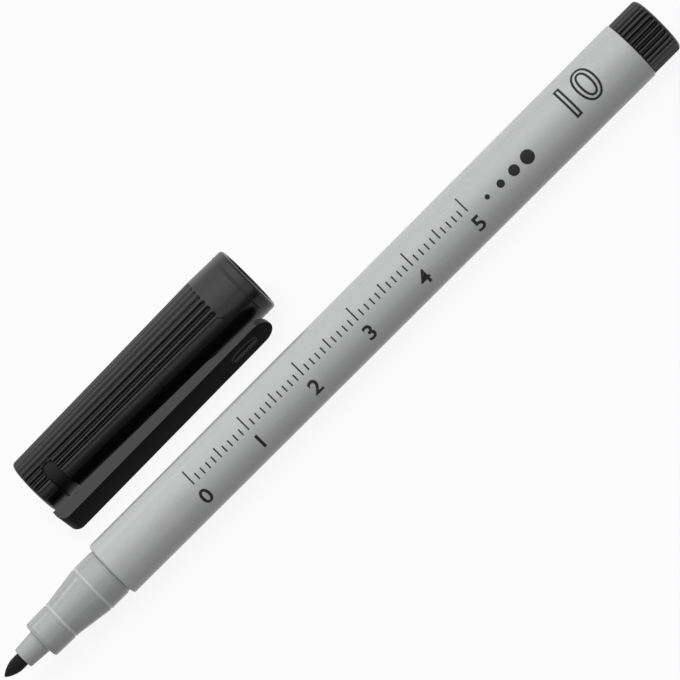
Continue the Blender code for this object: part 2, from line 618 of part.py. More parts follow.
def main():
    """Build the pen and the cap, lay both on the table and centre them over the origin."""
    clear_scene()
    parts = make_collection("non_permanent_marker")
    cutters = make_collection("cutters")
    grey = make_material("grey_plastic", (0.53, 0.53, 0.54), 0.42)
    front_grey = make_material("front_grey_plastic", (0.47, 0.47, 0.48), 0.36)
    black = make_material("black_plastic", (0.014, 0.014, 0.015), 0.50)
    soft_black = make_material("black_liner", (0.018, 0.018, 0.020), 0.55)
    nib_black = make_material("nib_fibre", (0.010, 0.010, 0.012), 0.80)
    ink_black = make_material("inked_fibre", (0.020, 0.020, 0.024), 0.90)
    film = make_material("film", (0.75, 0.76, 0.78), 0.25)

    table = make_empty("table_centre", parts)
    pen = make_empty("pen_axis", parts, table)
    pen.location = (NIB_TOP, 0.0, 0.0)
    pen.rotation_euler = (0.0, math.radians(-90.0), 0.0)
    pen_pieces = [
        finish_part(build_barrel(parts), grey, pen),
        finish_part(build_front_section(parts), front_grey, pen),
        finish_part(build_nib(parts), nib_black, pen),
        finish_part(build_reservoir(parts), ink_black, pen),
        finish_part(build_wrap(parts), film, pen),
        finish_part(build_end_plug(parts, cutters), black, pen),
    ]
    rest_on_table(pen, pen_pieces)

    cap = make_empty("cap_axis", parts, table)
    cap.matrix_local = cap_rest_matrix()
    hinge = make_empty("clip_hinge", parts, cap)
    hinge.location = (CLIP_INNER_RADIUS, 0.0, 0.0)
    clip = finish_part(build_clip(parts, cutters), black, hinge)
    clip.location = -hinge.location
    cap_pieces = [
        finish_part(build_cap_shell(parts, cutters), black, cap),
        finish_part(build_inner_cap(parts), soft_black, cap),
        clip,
    ]
    rest_on_table(cap, cap_pieces)

    low, high = world_corners(pen_pieces + cap_pieces)
    table.location = (-(low.x + high.x) / 2, -(low.y + high.y) / 2, 0.0)


main()
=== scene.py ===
"""Looks of a fibre-tip marker that lies on a table in front of its cap.

Pen pieces are drawn nib up from the barrel's rear end, cap pieces mouth up from the closed end with the
clip towards +X. Both are drawn in millimetres and then laid, in metres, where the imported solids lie.
"""

import json
import logging
import math
from collections.abc import Iterator, Sequence
from contextlib import contextmanager
from dataclasses import dataclass, replace
from enum import Enum

import bmesh
import bpy
import numpy as np
from mathutils import Matrix, Vector


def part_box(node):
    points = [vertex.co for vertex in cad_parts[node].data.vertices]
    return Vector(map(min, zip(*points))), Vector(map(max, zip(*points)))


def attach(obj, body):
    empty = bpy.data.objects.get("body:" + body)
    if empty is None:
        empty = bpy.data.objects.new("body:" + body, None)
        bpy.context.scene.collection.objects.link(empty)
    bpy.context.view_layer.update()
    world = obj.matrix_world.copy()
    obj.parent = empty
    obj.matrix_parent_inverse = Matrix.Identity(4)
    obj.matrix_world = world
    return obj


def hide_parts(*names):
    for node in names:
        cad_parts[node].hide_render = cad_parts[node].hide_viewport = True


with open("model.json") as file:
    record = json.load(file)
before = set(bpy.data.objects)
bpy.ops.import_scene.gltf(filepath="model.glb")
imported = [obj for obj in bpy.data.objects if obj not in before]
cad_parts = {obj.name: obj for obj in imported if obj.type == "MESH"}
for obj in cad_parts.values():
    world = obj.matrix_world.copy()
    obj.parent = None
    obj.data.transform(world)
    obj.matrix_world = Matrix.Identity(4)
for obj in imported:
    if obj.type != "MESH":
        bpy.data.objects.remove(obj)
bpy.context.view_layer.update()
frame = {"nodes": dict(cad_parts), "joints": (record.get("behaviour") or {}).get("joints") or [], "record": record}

LOG = logging.getLogger("marker")

MM = 0.001
WELD = 0.0005
SHARP = math.radians(32.0)
TURN_STEPS = 224
FINE_STEPS = 720
ARC_STEPS = 10
SMALL_ARC_STEPS = 6
ROUND_PROFILE = 0.5
SEAT_GAP = 0.12
VIEW_ELEVATION = math.radians(40.0)
ALONG_PEN = Vector((1.0, 0.0, 0.0))

# A cutter's thickness, in times that of what it cuts through.
CUT_THROUGH = 4.0

# A Mix node's colour sockets, which share their names with its other sockets.
MIX_LOW, MIX_HIGH, MIX_RESULT = 6, 7, 2

# From the clip's two views, (level, radius, across) and (level, across, radius), to (radius, across, level).
FROM_SIDE = Matrix(((0, 1, 0, 0), (0, 0, 1, 0), (1, 0, 0, 0), (0, 0, 0, 1)))
FROM_OUTSIDE = Matrix(((0, 0, 1, 0), (0, 1, 0, 0), (1, 0, 0, 0), (0, 0, 0, 1)))

Item = bpy.types.Object
Material = bpy.types.Material
Mesh = bpy.types.Mesh
Node = bpy.types.Node
NodeTree = bpy.types.NodeTree
Socket = bpy.types.NodeSocket
Colour = tuple[float, float, float]
Outline = list[tuple[float, float]]


class Body(Enum):
    """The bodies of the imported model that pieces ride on."""

    PEN = "pen"
    CAP = "cap"
    CLIP = "clip"


class Tick(Enum):
    """The lengths of the printed scale's lines, in millimetres."""

    SHORT = 1.05
    MIDDLE = 1.65
    LONG = 2.45

    def label(self) -> str:
        """Return the name of the input that takes this length."""
        return f"{self.name.title()} Line"


@dataclass(frozen=True)
class Corner:
    """A corner of an outline: its distance from the axis, its level and its rounding, in millimetres."""

    radius: float
    level: float
    rounding: float = 0.0

    def point(self) -> Vector:
        """Return the unrounded corner as a flat vector."""
        return Vector((self.radius, self.level))


def rounded(corners: Sequence[Corner], closed: bool = False, steps: int = ARC_STEPS) -> Outline:
    """Turn corners into an outline whose roundings are arcs.

    Args:
        corners: The corners in order; an outline that turns about an axis runs down its outer side.
        closed: Whether the last corner joins the first.
        steps: Straight stretches to an arc.

    Returns:
        The points of the outline.
    """
    points: Outline = []
    count = len(corners)
    for index, corner in enumerate(corners):
        here = corner.point()
        at_end = not closed and index in (0, count - 1)
        if corner.rounding <= 0.0 or at_end:
            points.append((here.x, here.y))
            continue
        back = (corners[index - 1].point() - here).normalized()
        ahead = (corners[(index + 1) % count].point() - here).normalized()
        half = back.angle(ahead) / 2
        middle = here + (back + ahead).normalized() * (corner.rounding / math.sin(half))
        first = here + back * (corner.rounding / math.tan(half)) - middle
        last = here + ahead * (corner.rounding / math.tan(half)) - middle
        sweep = first.angle(last)
        for step in range(steps + 1):
            share = step / steps
            blend = first * math.sin((1 - share) * sweep) + last * math.sin(share * sweep)
            spot = middle + blend / math.sin(sweep)
            points.append((spot.x, spot.y))
    return points


def turned(name: str, outline: Outline, closed: bool = False, steps: int = TURN_STEPS) -> Mesh:
    """Turn an outline of (radius, level) points about Z into a closed mesh.

    Args:
        name: The mesh's name.
        outline: Points that run down the outer side; an open outline starts and ends on the axis.
        closed: Whether the last point joins the first, as for a tube.
        steps: Facets round the axis.

    Returns:
        The mesh, in millimetres.
    """
    angles = np.arange(steps) * (2 * math.pi / steps)
    across, up = np.cos(angles), np.sin(angles)
    vertices: list[np.ndarray] = []
    rings: list[np.ndarray] = []
    count = 0
    for radius, level in outline:
        on_axis = radius < WELD
        ring = np.array([[0.0, 0.0, level]]) if on_axis else np.column_stack(
            (radius * across, radius * up, np.full(steps, level)))
        vertices.append(ring)
        rings.append(np.full(steps, count) if on_axis else count + np.arange(steps))
        count += len(ring)
    pairs = list(zip(rings, rings[1:] + rings[:1]))
    faces: list[tuple[int, ...]] = []
    for upper, lower in pairs if closed else pairs[:-1]:
        for corners in zip(upper, lower, np.roll(lower, -1), np.roll(upper, -1)):
            faces.append(tuple(dict.fromkeys(int(corner) for corner in corners)))
    mesh = bpy.data.meshes.new(name)
    mesh.from_pydata(np.concatenate(vertices).tolist(), [], faces)
    mesh.update()
    return mesh


def held(data: bpy.types.ID) -> Item:
    """Put a mesh, curve, light or camera on an object in the scene.

    Args:
        data: What the object holds; the object takes its name.

    Returns:
        The object.
    """
    item = bpy.data.objects.new(data.name, data)
    bpy.context.scene.collection.objects.link(item)
    return item


def discard(item: Item) -> None:
    """Remove a working object together with its data.

    Args:
        item: An object that holds a mesh or a curve.
    """
    data = item.data
    bpy.data.objects.remove(item, do_unlink=True)
    (bpy.data.meshes if isinstance(data, Mesh) else bpy.data.curves).remove(data)


def baked(item: Item) -> Mesh:
    """Turn what a working object's curve or modifiers make into a plain mesh, and remove the object.

    Args:
        item: The working object.

    Returns:
        The mesh, under the object's name.
    """
    bpy.context.view_layer.update()
    evaluated = item.evaluated_get(bpy.context.evaluated_depsgraph_get())
    mesh = bpy.data.meshes.new_from_object(evaluated)
    name = item.name
    discard(item)
    mesh.name = name
    return mesh


@contextmanager
def edited(mesh: Mesh) -> Iterator[bmesh.types.BMesh]:
    """Open a mesh for editing in a with block, and write the result back to it at the end.

    Args:
        mesh: The mesh, which may be new and empty.

    Yields:
        The mesh in its editable form.
    """
    work = bmesh.new()
    work.from_mesh(mesh)
    yield work
    work.to_mesh(mesh)
    work.free()


def welded(mesh: Mesh) -> Mesh:
    """Weld the seams of a baked outline, such as the loose caps of an extruded curve.

    Args:
        mesh: The mesh, which is changed.

    Returns:
        The same mesh.
    """
    with edited(mesh) as work:
        bmesh.ops.remove_doubles(work, verts=work.verts, dist=WELD)
    return mesh


def extruded(name: str, outline: Outline, thickness: float) -> Mesh:
    """Extrude a flat outline of (x, y) points by a thickness that is centred on its plane.

    Args:
        name: The mesh's name.
        outline: The closed outline's points.
        thickness: The extent along Z.

    Returns:
        The mesh, in millimetres.
    """
    curve = bpy.data.curves.new(name, "CURVE")
    curve.dimensions = "2D"
    curve.fill_mode = "BOTH"
    curve.extrude = thickness / 2
    spline = curve.splines.new("POLY")
    spline.points.add(len(outline) - 1)
    for point, (x, y) in zip(spline.points, outline):
        point.co = (x, y, 0.0, 1.0)
    spline.use_cyclic_u = True
    return welded(baked(held(curve)))


def combined(mesh: Mesh, tool: Mesh, operation: str) -> Mesh:
    """Return a mesh after an exact Boolean with a tool mesh.

    Args:
        mesh: The mesh that is worked on.
        tool: The mesh that is added or taken away.
        operation: UNION, DIFFERENCE or INTERSECT.

    Returns:
        The resulting mesh.
    """
    item, cutter = held(mesh), held(tool)
    modifier = item.modifiers.new("tool", "BOOLEAN")
    modifier.operation = operation
    modifier.solver = "EXACT"
    modifier.object = cutter
    result = baked(item)
    discard(cutter)
    return result


def points_of(mesh: Mesh) -> np.ndarray:
    """Read a mesh's vertices.

    Args:
        mesh: The mesh.

    Returns:
        An array with one row for each vertex.
    """
    points = np.empty(len(mesh.vertices) * 3)
    mesh.vertices.foreach_get("co", points)
    return points.reshape(-1, 3)


def set_points(mesh: Mesh, points: np.ndarray) -> None:
    """Move a mesh's vertices to the rows of an array."""
    mesh.vertices.foreach_set("co", points.ravel())
    mesh.update()


def polar(points: np.ndarray) -> tuple[np.ndarray, np.ndarray]:
    """Return how far points lie from the axis, and their angles round it."""
    return np.hypot(points[:, 0], points[:, 1]), np.arctan2(points[:, 1], points[:, 0])


def move_out(mesh: Mesh, chosen: np.ndarray, distance: np.ndarray) -> None:
    """Move vertices of a turned mesh away from its axis.

    Args:
        mesh: The mesh.
        chosen: Whether each vertex moves.
        distance: How far each one moves, negative towards the axis.
    """
    points = points_of(mesh)
    radius, _ = polar(points)
    factor = np.where(chosen, 1.0 + distance / np.maximum(radius, WELD), 1.0)
    points[:, :2] *= factor[:, None]
    set_points(mesh, points)


def paint(mesh: Mesh, material: Material, chosen: Sequence[bool]) -> None:
    """Give some faces of a laid mesh a second finish.

    Args:
        mesh: The mesh, which has one finish.
        material: The second finish.
        chosen: Whether each face gets it.
    """
    mesh.materials.append(material)
    for polygon, is_chosen in zip(mesh.polygons, chosen):
        polygon.material_index = int(is_chosen)


class Graph:
    """Short calls that add nodes to a node tree and join their sockets."""

    def __init__(self, tree: NodeTree) -> None:
        """Keep the tree that the calls work on."""
        self.tree = tree

    def feed(self, socket: Socket, value: object) -> None:
        """Join a socket to the one that feeds it, or set it to a plain value.

        Args:
            socket: An input.
            value: The socket that feeds it, or a value.
        """
        if isinstance(value, Socket):
            self.tree.links.new(value, socket)
        else:
            socket.default_value = value

    def add(self, kind: str, inputs: dict[str, object] | None = None, **settings: object) -> Node:
        """Add a node.

        Args:
            kind: The node's type name.
            inputs: What feeds its inputs, by their names.
            settings: Values of the node's own properties.

        Returns:
            The node.
        """
        node = self.tree.nodes.new(kind)
        for name, value in settings.items():
            setattr(node, name, value)
        for name, value in (inputs or {}).items():
            self.feed(node.inputs[name], value)
        return node

    def through(self, node: Node, values: Sequence[object]) -> Socket:
        """Feed a node's inputs in their order.

        Args:
            node: The node.
            values: Sockets or plain values, one for each input from the first on.

        Returns:
            The node's first output.
        """
        for socket, value in zip(node.inputs, values):
            self.feed(socket, value)
        return node.outputs[0]

    def math(self, operation: str, *values: float | Socket) -> Socket:
        """Add a Math node on sockets or plain numbers and return its result."""
        return self.through(self.add("ShaderNodeMath", operation=operation), values)

    def vector(self, *values: float | Socket) -> Socket:
        """Add a node that joins sockets or plain numbers to a vector and return it."""
        return self.through(self.add("ShaderNodeCombineXYZ"), values)


class ShapeTree(Graph):
    """A Geometry Nodes tree with named sizes, which ends in Realize Instances and Set Material."""

    def __init__(self, name: str) -> None:
        """Start a tree that takes and gives a geometry.

        Args:
            name: The tree's name.
        """
        super().__init__(bpy.data.node_groups.new(name, "GeometryNodeTree"))
        for side in ("INPUT", "OUTPUT"):
            self.tree.interface.new_socket("Geometry", in_out=side, socket_type="NodeSocketGeometry")
        self.start = self.add("NodeGroupInput")
        self.keys: dict[str, str] = {}

    def size(self, name: str, kind: str = "NodeSocketFloat") -> Socket:
        """Add a named input.

        Args:
            name: The input's name.
            kind: The type of its socket.

        Returns:
            The socket that carries it.
        """
        item = self.tree.interface.new_socket(name, in_out="INPUT", socket_type=kind)
        self.keys[name] = item.identifier
        return self.start.outputs[name]

    def row(self, count: Socket, pitch: Socket) -> Socket:
        """Return points in a row along X."""
        line = self.add("GeometryNodeMeshLine", {"Count": count, "Offset": self.vector(pitch)})
        return line.outputs["Mesh"]

    def copies(self, points: Socket, shape: Socket, scale: Socket) -> Socket:
        """Return copies of a shape on points, each stretched by its own scale."""
        inputs = {"Points": points, "Instance": shape, "Scale": scale}
        return self.add("GeometryNodeInstanceOnPoints", inputs).outputs["Instances"]

    def close(self, geometry: Socket, material: Material) -> None:
        """End the tree: make instances real and give the result its material.

        Args:
            geometry: What the tree has made.
            material: The finish of the result.
        """
        real = self.add("GeometryNodeRealizeInstances", {"Geometry": geometry}).outputs["Geometry"]
        dressed = self.add("GeometryNodeSetMaterial", {"Geometry": real, "Material": material})
        self.add("NodeGroupOutput", {"Geometry": dressed.outputs["Geometry"]})

    def shaped(self, mesh: Mesh, sizes: dict[str, float]) -> Mesh:
        """Run the tree on a mesh.

        Args:
            mesh: The mesh that the tree starts from.
            sizes: A value for each named input.

        Returns:
            The result as a plain mesh.
        """
        item = held(mesh)
        modifier = item.modifiers.new(self.tree.name, "NODES")
        modifier.node_group = self.tree
        for name, value in sizes.items():
            modifier[self.keys[name]] = value
        return baked(item)


class EffectGroup(Graph):
    """A shader node group with named inputs and outputs, built once and shared by materials."""

    def __init__(self, name: str, inputs: dict[str, float], outputs: Sequence[str]) -> None:
        """Start a group.

        Args:
            name: The group's name.
            inputs: Its number inputs with their usual values.
            outputs: The names of its number outputs.
        """
        super().__init__(bpy.data.node_groups.new(name, "ShaderNodeTree"))
        for label, usual in inputs.items():
            item = self.tree.interface.new_socket(label, in_out="INPUT", socket_type="NodeSocketFloat")
            item.default_value = usual
        for label in outputs:
            self.tree.interface.new_socket(label, in_out="OUTPUT", socket_type="NodeSocketFloat")
        self.given = self.add("NodeGroupInput").outputs
        self.place = self.add("ShaderNodeTexCoord").outputs["Object"]

    def noise(self, scale: float | Socket, detail: float, stretch: Vector | None = None) -> Socket:
        """Add a noise on Object coordinates.

        Args:
            scale: Its scale, in turns to a metre.
            detail: Its octaves.
            stretch: Factors on the coordinates, for a noise that is drawn out along an axis.

        Returns:
            The noise, from 0 to 1.
        """
        place = self.place
        if stretch is not None:
            place = self.add("ShaderNodeMapping", {"Vector": place, "Scale": stretch}).outputs["Vector"]
        inputs = {"Vector": place, "Scale": scale, "Detail": detail}
        return self.add("ShaderNodeTexNoise", inputs).outputs["Fac"]

    def above(self, value: Socket, low: float | Socket, high: float | Socket) -> Socket:
        """Return a mask that rises from 0 to 1 while a value goes from low to high."""
        inputs = {"Value": value, "From Min": low, "From Max": high}
        return self.add("ShaderNodeMapRange", inputs, interpolation_type="SMOOTHSTEP").outputs["Result"]

    def ended(self, **outputs: Socket) -> NodeTree:
        """Feed the group's outputs, by their names, and return the group."""
        self.add("NodeGroupOutput", outputs)
        return self.tree


class Effects:
    """The shader node groups that the finishes share, each built once."""

    def __init__(self) -> None:
        """Build the groups."""
        self.skin = self.moulded_skin()
        self.marks = self.handling_marks()
        self.fibres = self.fibre_strands()

    @staticmethod
    def moulded_skin() -> NodeTree:
        """Build the skin of a moulding: a fine grain for its bump and slow flow marks for its tone.

        Returns:
            The node group.
        """
        group = EffectGroup("moulded_skin", {"Grain Scale": 9000.0, "Flow Scale": 260.0}, ("Grain", "Flow"))
        grain = group.noise(group.given["Grain Scale"], detail=2.0)
        flow = group.noise(group.given["Flow Scale"], detail=4.0, stretch=Vector((0.35, 1.0, 1.0)))
        return group.ended(Grain=grain, Flow=group.above(flow, low=0.2, high=0.8))

    @staticmethod
    def handling_marks() -> NodeTree:
        """Build the marks of use: hairlines along the piece and sparse specks of dust.

        Returns:
            The node group.
        """
        levels = {"Hairline Level": 0.66, "Speck Level": 0.74}
        group = EffectGroup("handling_marks", levels, ("Hairlines", "Specks"))
        lines = group.noise(scale=1.0, detail=3.0, stretch=Vector((160.0, 7000.0, 7000.0)))
        lined = group.above(lines, low=group.given["Hairline Level"], high=0.80)
        patches = group.above(group.noise(scale=190.0, detail=2.0), low=0.42, high=0.62)
        dust = group.noise(scale=5200.0, detail=1.0)
        specks = group.above(dust, low=group.given["Speck Level"], high=0.82)
        return group.ended(Hairlines=group.math("MULTIPLY", lined, patches), Specks=specks)

    @staticmethod
    def fibre_strands() -> NodeTree:
        """Build bonded fibres that run along the pen, as a height and as a slow tone.

        Returns:
            The node group.
        """
        group = EffectGroup("fibre_strands", {"Strand Scale": 1.0}, ("Strands", "Tone"))
        scale = group.given["Strand Scale"]
        strands = group.noise(scale, detail=3.0, stretch=Vector((900.0, 9000.0, 9000.0)))
        tone = group.noise(scale, detail=2.0, stretch=Vector((500.0, 2500.0, 2500.0)))
        return group.ended(Strands=strands, Tone=tone)


class Finish(Graph):
    """A material under construction: a Principled shader and the nodes that feed it."""

    def __init__(self, name: str) -> None:
        """Start a material with a plain Principled shader.

        Args:
            name: The material's name.
        """
        self.material = bpy.data.materials.new(name)
        self.material.use_nodes = True
        super().__init__(self.material.node_tree)
        self.shader = self.tree.nodes["Principled BSDF"]

    def group(self, tree: NodeTree, **values: float) -> bpy.types.NodeOutputs:
        """Place a shared group, with values for inputs named by underscored words, and return its outputs."""
        inputs = {name.replace("_", " ").title(): value for name, value in values.items()}
        return self.add("ShaderNodeGroup", inputs, node_tree=tree).outputs

    def between(self, share: Socket, low: Colour | Socket, high: Colour | Socket) -> Socket:
        """Mix two colours by a share that changes over the surface.

        Args:
            share: The share of the second colour.
            low: The first colour.
            high: The second colour.

        Returns:
            The mixed colour.
        """
        node = self.add("ShaderNodeMix", {"Factor": share}, data_type="RGBA")
        for index, value in ((MIX_LOW, low), (MIX_HIGH, high)):
            self.feed(node.inputs[index], value if isinstance(value, Socket) else (*value, 1.0))
        return node.outputs[MIX_RESULT]

    def surface(self, colour: Socket, rough: Socket, specular: float) -> None:
        """Feed the shader's colour and roughness and set its specular level."""
        for name, value in (("Base Color", colour), ("Roughness", rough), ("Specular IOR Level", specular)):
            self.feed(self.shader.inputs[name], value)

    def bump(self, height: Socket, depth: float) -> None:
        """Raise the surface by a height of up to this many millimetres."""
        node = self.add("ShaderNodeBump", {"Strength": 1.0, "Distance": depth * MM, "Height": height})
        self.feed(self.shader.inputs["Normal"], node.outputs["Normal"])


@dataclass(frozen=True)
class MouldedPlastic:
    """The finish of a plastic moulding: its colour, gloss, grain and marks of use."""

    name: str
    colour: Colour
    roughness: float
    specular: float
    tone: float
    grain_scale: float
    grain_depth: float
    scuff_colour: Colour
    scuff_share: float
    gloss_drift: float = 0.02
    hairline_dulling: float = 0.10

    def material(self, effects: Effects) -> Material:
        """Build the material.

        Args:
            effects: The shared node groups.

        Returns:
            The material.
        """
        finish = Finish(self.name)
        skin = finish.group(effects.skin, grain_scale=self.grain_scale)
        marks = finish.group(effects.marks)
        dark, light = (tuple(part * (1 + sign * self.tone) for part in self.colour) for sign in (-1, 1))
        tinted = finish.between(skin["Flow"], dark, light)
        scuffs = finish.math("MAXIMUM", marks["Hairlines"], marks["Specks"])
        worn = finish.between(finish.math("MULTIPLY", scuffs, self.scuff_share), tinted, self.scuff_colour)
        lowest = self.roughness - self.gloss_drift / 2
        slow = finish.math("MULTIPLY_ADD", skin["Flow"], self.gloss_drift, lowest)
        rough = finish.math("MULTIPLY_ADD", marks["Hairlines"], self.hairline_dulling, slow)
        finish.surface(worn, rough, self.specular)
        finish.bump(skin["Grain"], self.grain_depth)
        return finish.material


@dataclass(frozen=True)
class InkedFibre:
    """The finish of bonded fibres soaked with ink."""

    name: str
    dark: Colour
    light: Colour
    roughness: float
    specular: float
    strand_scale: float
    strand_depth: float
    strand_dulling: float = 0.25

    def material(self, effects: Effects) -> Material:
        """Build the material.

        Args:
            effects: The shared node groups.

        Returns:
            The material.
        """
        finish = Finish(self.name)
        fibres = finish.group(effects.fibres, strand_scale=self.strand_scale)
        tone = finish.between(fibres["Tone"], self.dark, self.light)
        rough = finish.math("MULTIPLY_ADD", fibres["Strands"], self.strand_dulling, self.roughness)
        finish.surface(tone, rough, self.specular)
        finish.bump(fibres["Strands"], self.strand_depth)
        return finish.material


@dataclass(frozen=True)
class PrintInk:
    """The finish of the black print, thinner in places where it has been handled."""

    name: str
    colour: Colour
    thin: Colour
    roughness: float
    specular: float
    speck_level: float = 0.70
    thin_share: float = 0.5
    grain_scale: float = 7000.0
    grain_depth: float = 0.004
    grain_dulling: float = 0.16

    def material(self, effects: Effects) -> Material:
        """Build the material.

        Args:
            effects: The shared node groups.

        Returns:
            The material.
        """
        finish = Finish(self.name)
        skin = finish.group(effects.skin, grain_scale=self.grain_scale)
        marks = finish.group(effects.marks, speck_level=self.speck_level)
        worn = finish.math("MULTIPLY", marks["Specks"], self.thin_share)
        rough = finish.math("MULTIPLY_ADD", skin["Grain"], self.grain_dulling, self.roughness)
        finish.surface(finish.between(worn, self.colour, self.thin), rough, self.specular)
        finish.bump(skin["Grain"], self.grain_depth)
        return finish.material


@dataclass(frozen=True)
class Film:
    """The finish of the thin film round the ink reservoir."""

    name: str
    colour: Colour
    crease: Colour
    roughness: float
    specular: float = 0.5
    crease_scale: float = 900.0
    crease_dulling: float = 0.15
    grain_scale: float = 1200.0
    grain_depth: float = 0.02

    def material(self, effects: Effects) -> Material:
        """Build the material.

        Args:
            effects: The shared node groups.

        Returns:
            The material.
        """
        finish = Finish(self.name)
        skin = finish.group(effects.skin, grain_scale=self.grain_scale, flow_scale=self.crease_scale)
        tone = finish.between(skin["Flow"], self.colour, self.crease)
        rough = finish.math("MULTIPLY_ADD", skin["Flow"], self.crease_dulling, self.roughness)
        finish.surface(tone, rough, self.specular)
        finish.bump(skin["Grain"], self.grain_depth)
        return finish.material


GREY_BARREL = MouldedPlastic(
    name="satin_grey_barrel", colour=(0.530, 0.533, 0.540), roughness=0.27, specular=0.75, tone=0.010,
    grain_scale=8000.0, grain_depth=0.0025, scuff_colour=(0.58, 0.58, 0.59), scuff_share=0.25)
GREY_FRONT = MouldedPlastic(
    name="smooth_grey_front", colour=(0.375, 0.378, 0.383), roughness=0.22, specular=0.90, tone=0.010,
    grain_scale=9000.0, grain_depth=0.0015, scuff_colour=(0.52, 0.52, 0.53), scuff_share=0.20)
# A paler copy of the front's grey for its two beads: a painted highlight, the light that their rounded rims catch.
GREY_BEAD_HIGHLIGHT = replace(
    GREY_FRONT, name="polished_grey_edge", colour=(0.62, 0.62, 0.63), roughness=0.20, grain_depth=0.0010,
    scuff_colour=(0.70, 0.70, 0.71))
MATT_BLACK = MouldedPlastic(
    name="matt_black_cap", colour=(0.0040, 0.0040, 0.0043), roughness=0.24, specular=0.32, tone=0.12,
    grain_scale=7000.0, grain_depth=0.0040, scuff_colour=(0.030, 0.030, 0.031), scuff_share=0.40)
PLUG_BLACK = replace(MATT_BLACK, name="satin_black_plug", roughness=0.26, specular=0.36)
# A copy of the cap's black with its reflection nearly taken away, for the clip's outer face: painted shade, darker
# because of how the light falls on that face.
CLIP_FACE_SHADE = replace(
    MATT_BLACK, name="dull_black_clip_face", roughness=0.50, specular=0.03, grain_depth=0.0060)
BLACK_LINER = MouldedPlastic(
    name="black_inner_cap", colour=(0.007, 0.007, 0.0075), roughness=0.46, specular=0.15, tone=0.10,
    grain_scale=7000.0, grain_depth=0.0030, scuff_colour=(0.03, 0.03, 0.03), scuff_share=0.20)
NIB_FIBRE = InkedFibre(
    name="inked_nib_fibre", dark=(0.003, 0.003, 0.004), light=(0.011, 0.010, 0.010), roughness=0.55,
    specular=0.14, strand_scale=1.0, strand_depth=0.030)
INK_FIBRE = InkedFibre(
    name="inked_reservoir_fibre", dark=(0.010, 0.010, 0.014), light=(0.030, 0.030, 0.036), roughness=0.70,
    specular=0.30, strand_scale=0.6, strand_depth=0.060)
BLACK_PRINT = PrintInk(
    name="black_print", colour=(0.010, 0.010, 0.011), thin=(0.060, 0.060, 0.062), roughness=0.34,
    specular=0.20)
CLEAR_FILM = Film(
    name="reservoir_film", colour=(0.74, 0.75, 0.77), crease=(0.66, 0.67, 0.70), roughness=0.22)


def lay(mesh: Mesh, material: Material, place: Matrix, body: Body, node: str = "") -> Item:
    """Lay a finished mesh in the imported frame, dress it and let it ride on its body.

    Args:
        mesh: The piece's mesh, in its own millimetres; the piece takes the mesh's name.
        material: The piece's finish.
        place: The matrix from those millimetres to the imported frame.
        body: The body that carries the piece.
        node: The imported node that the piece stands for, if it does.

    Returns:
        The piece.
    """
    mesh.transform(place)
    mesh.shade_smooth()
    mesh.set_sharp_from_angle(angle=SHARP)
    mesh.materials.clear()
    mesh.materials.append(material)
    piece = held(mesh)
    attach(piece, body.value)
    if node:
        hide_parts(node)
    LOG.info("%s: %d faces, rides on %s", piece.name, len(mesh.polygons), body.value)
    return piece


def pen_place() -> Matrix:
    """Work out how the pen lies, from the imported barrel: nib towards -X, on the barrel's axis.

    Returns:
        The matrix from the pen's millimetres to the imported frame.
    """
    low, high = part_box("barrel")
    middle = (low + high) / 2
    laid = Matrix.Rotation(math.radians(-90.0), 4, "Y")
    return Matrix.Translation((high.x, middle.y, middle.z)) @ laid @ Matrix.Scale(MM, 4)


def cap_place() -> Matrix:
    """Work out how the cap lies, from the face of its closed end and the axis about which its clip bends.

    Returns:
        The matrix from the cap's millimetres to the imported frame.
    """
    end = next(mount for mount in frame["record"]["mounts"] if mount["name"] == "cap_end_face")
    flex = next(joint for joint in frame["joints"] if joint["name"] == "clip_flex")
    up = -Vector(end["axis"]).normalized()
    side = Vector(flex["axis"]).normalized()
    turn = Matrix((side.cross(up), side, up)).transposed().to_4x4()
    return Matrix.Translation(end["pos_m"]) @ turn @ Matrix.Scale(MM, 4)


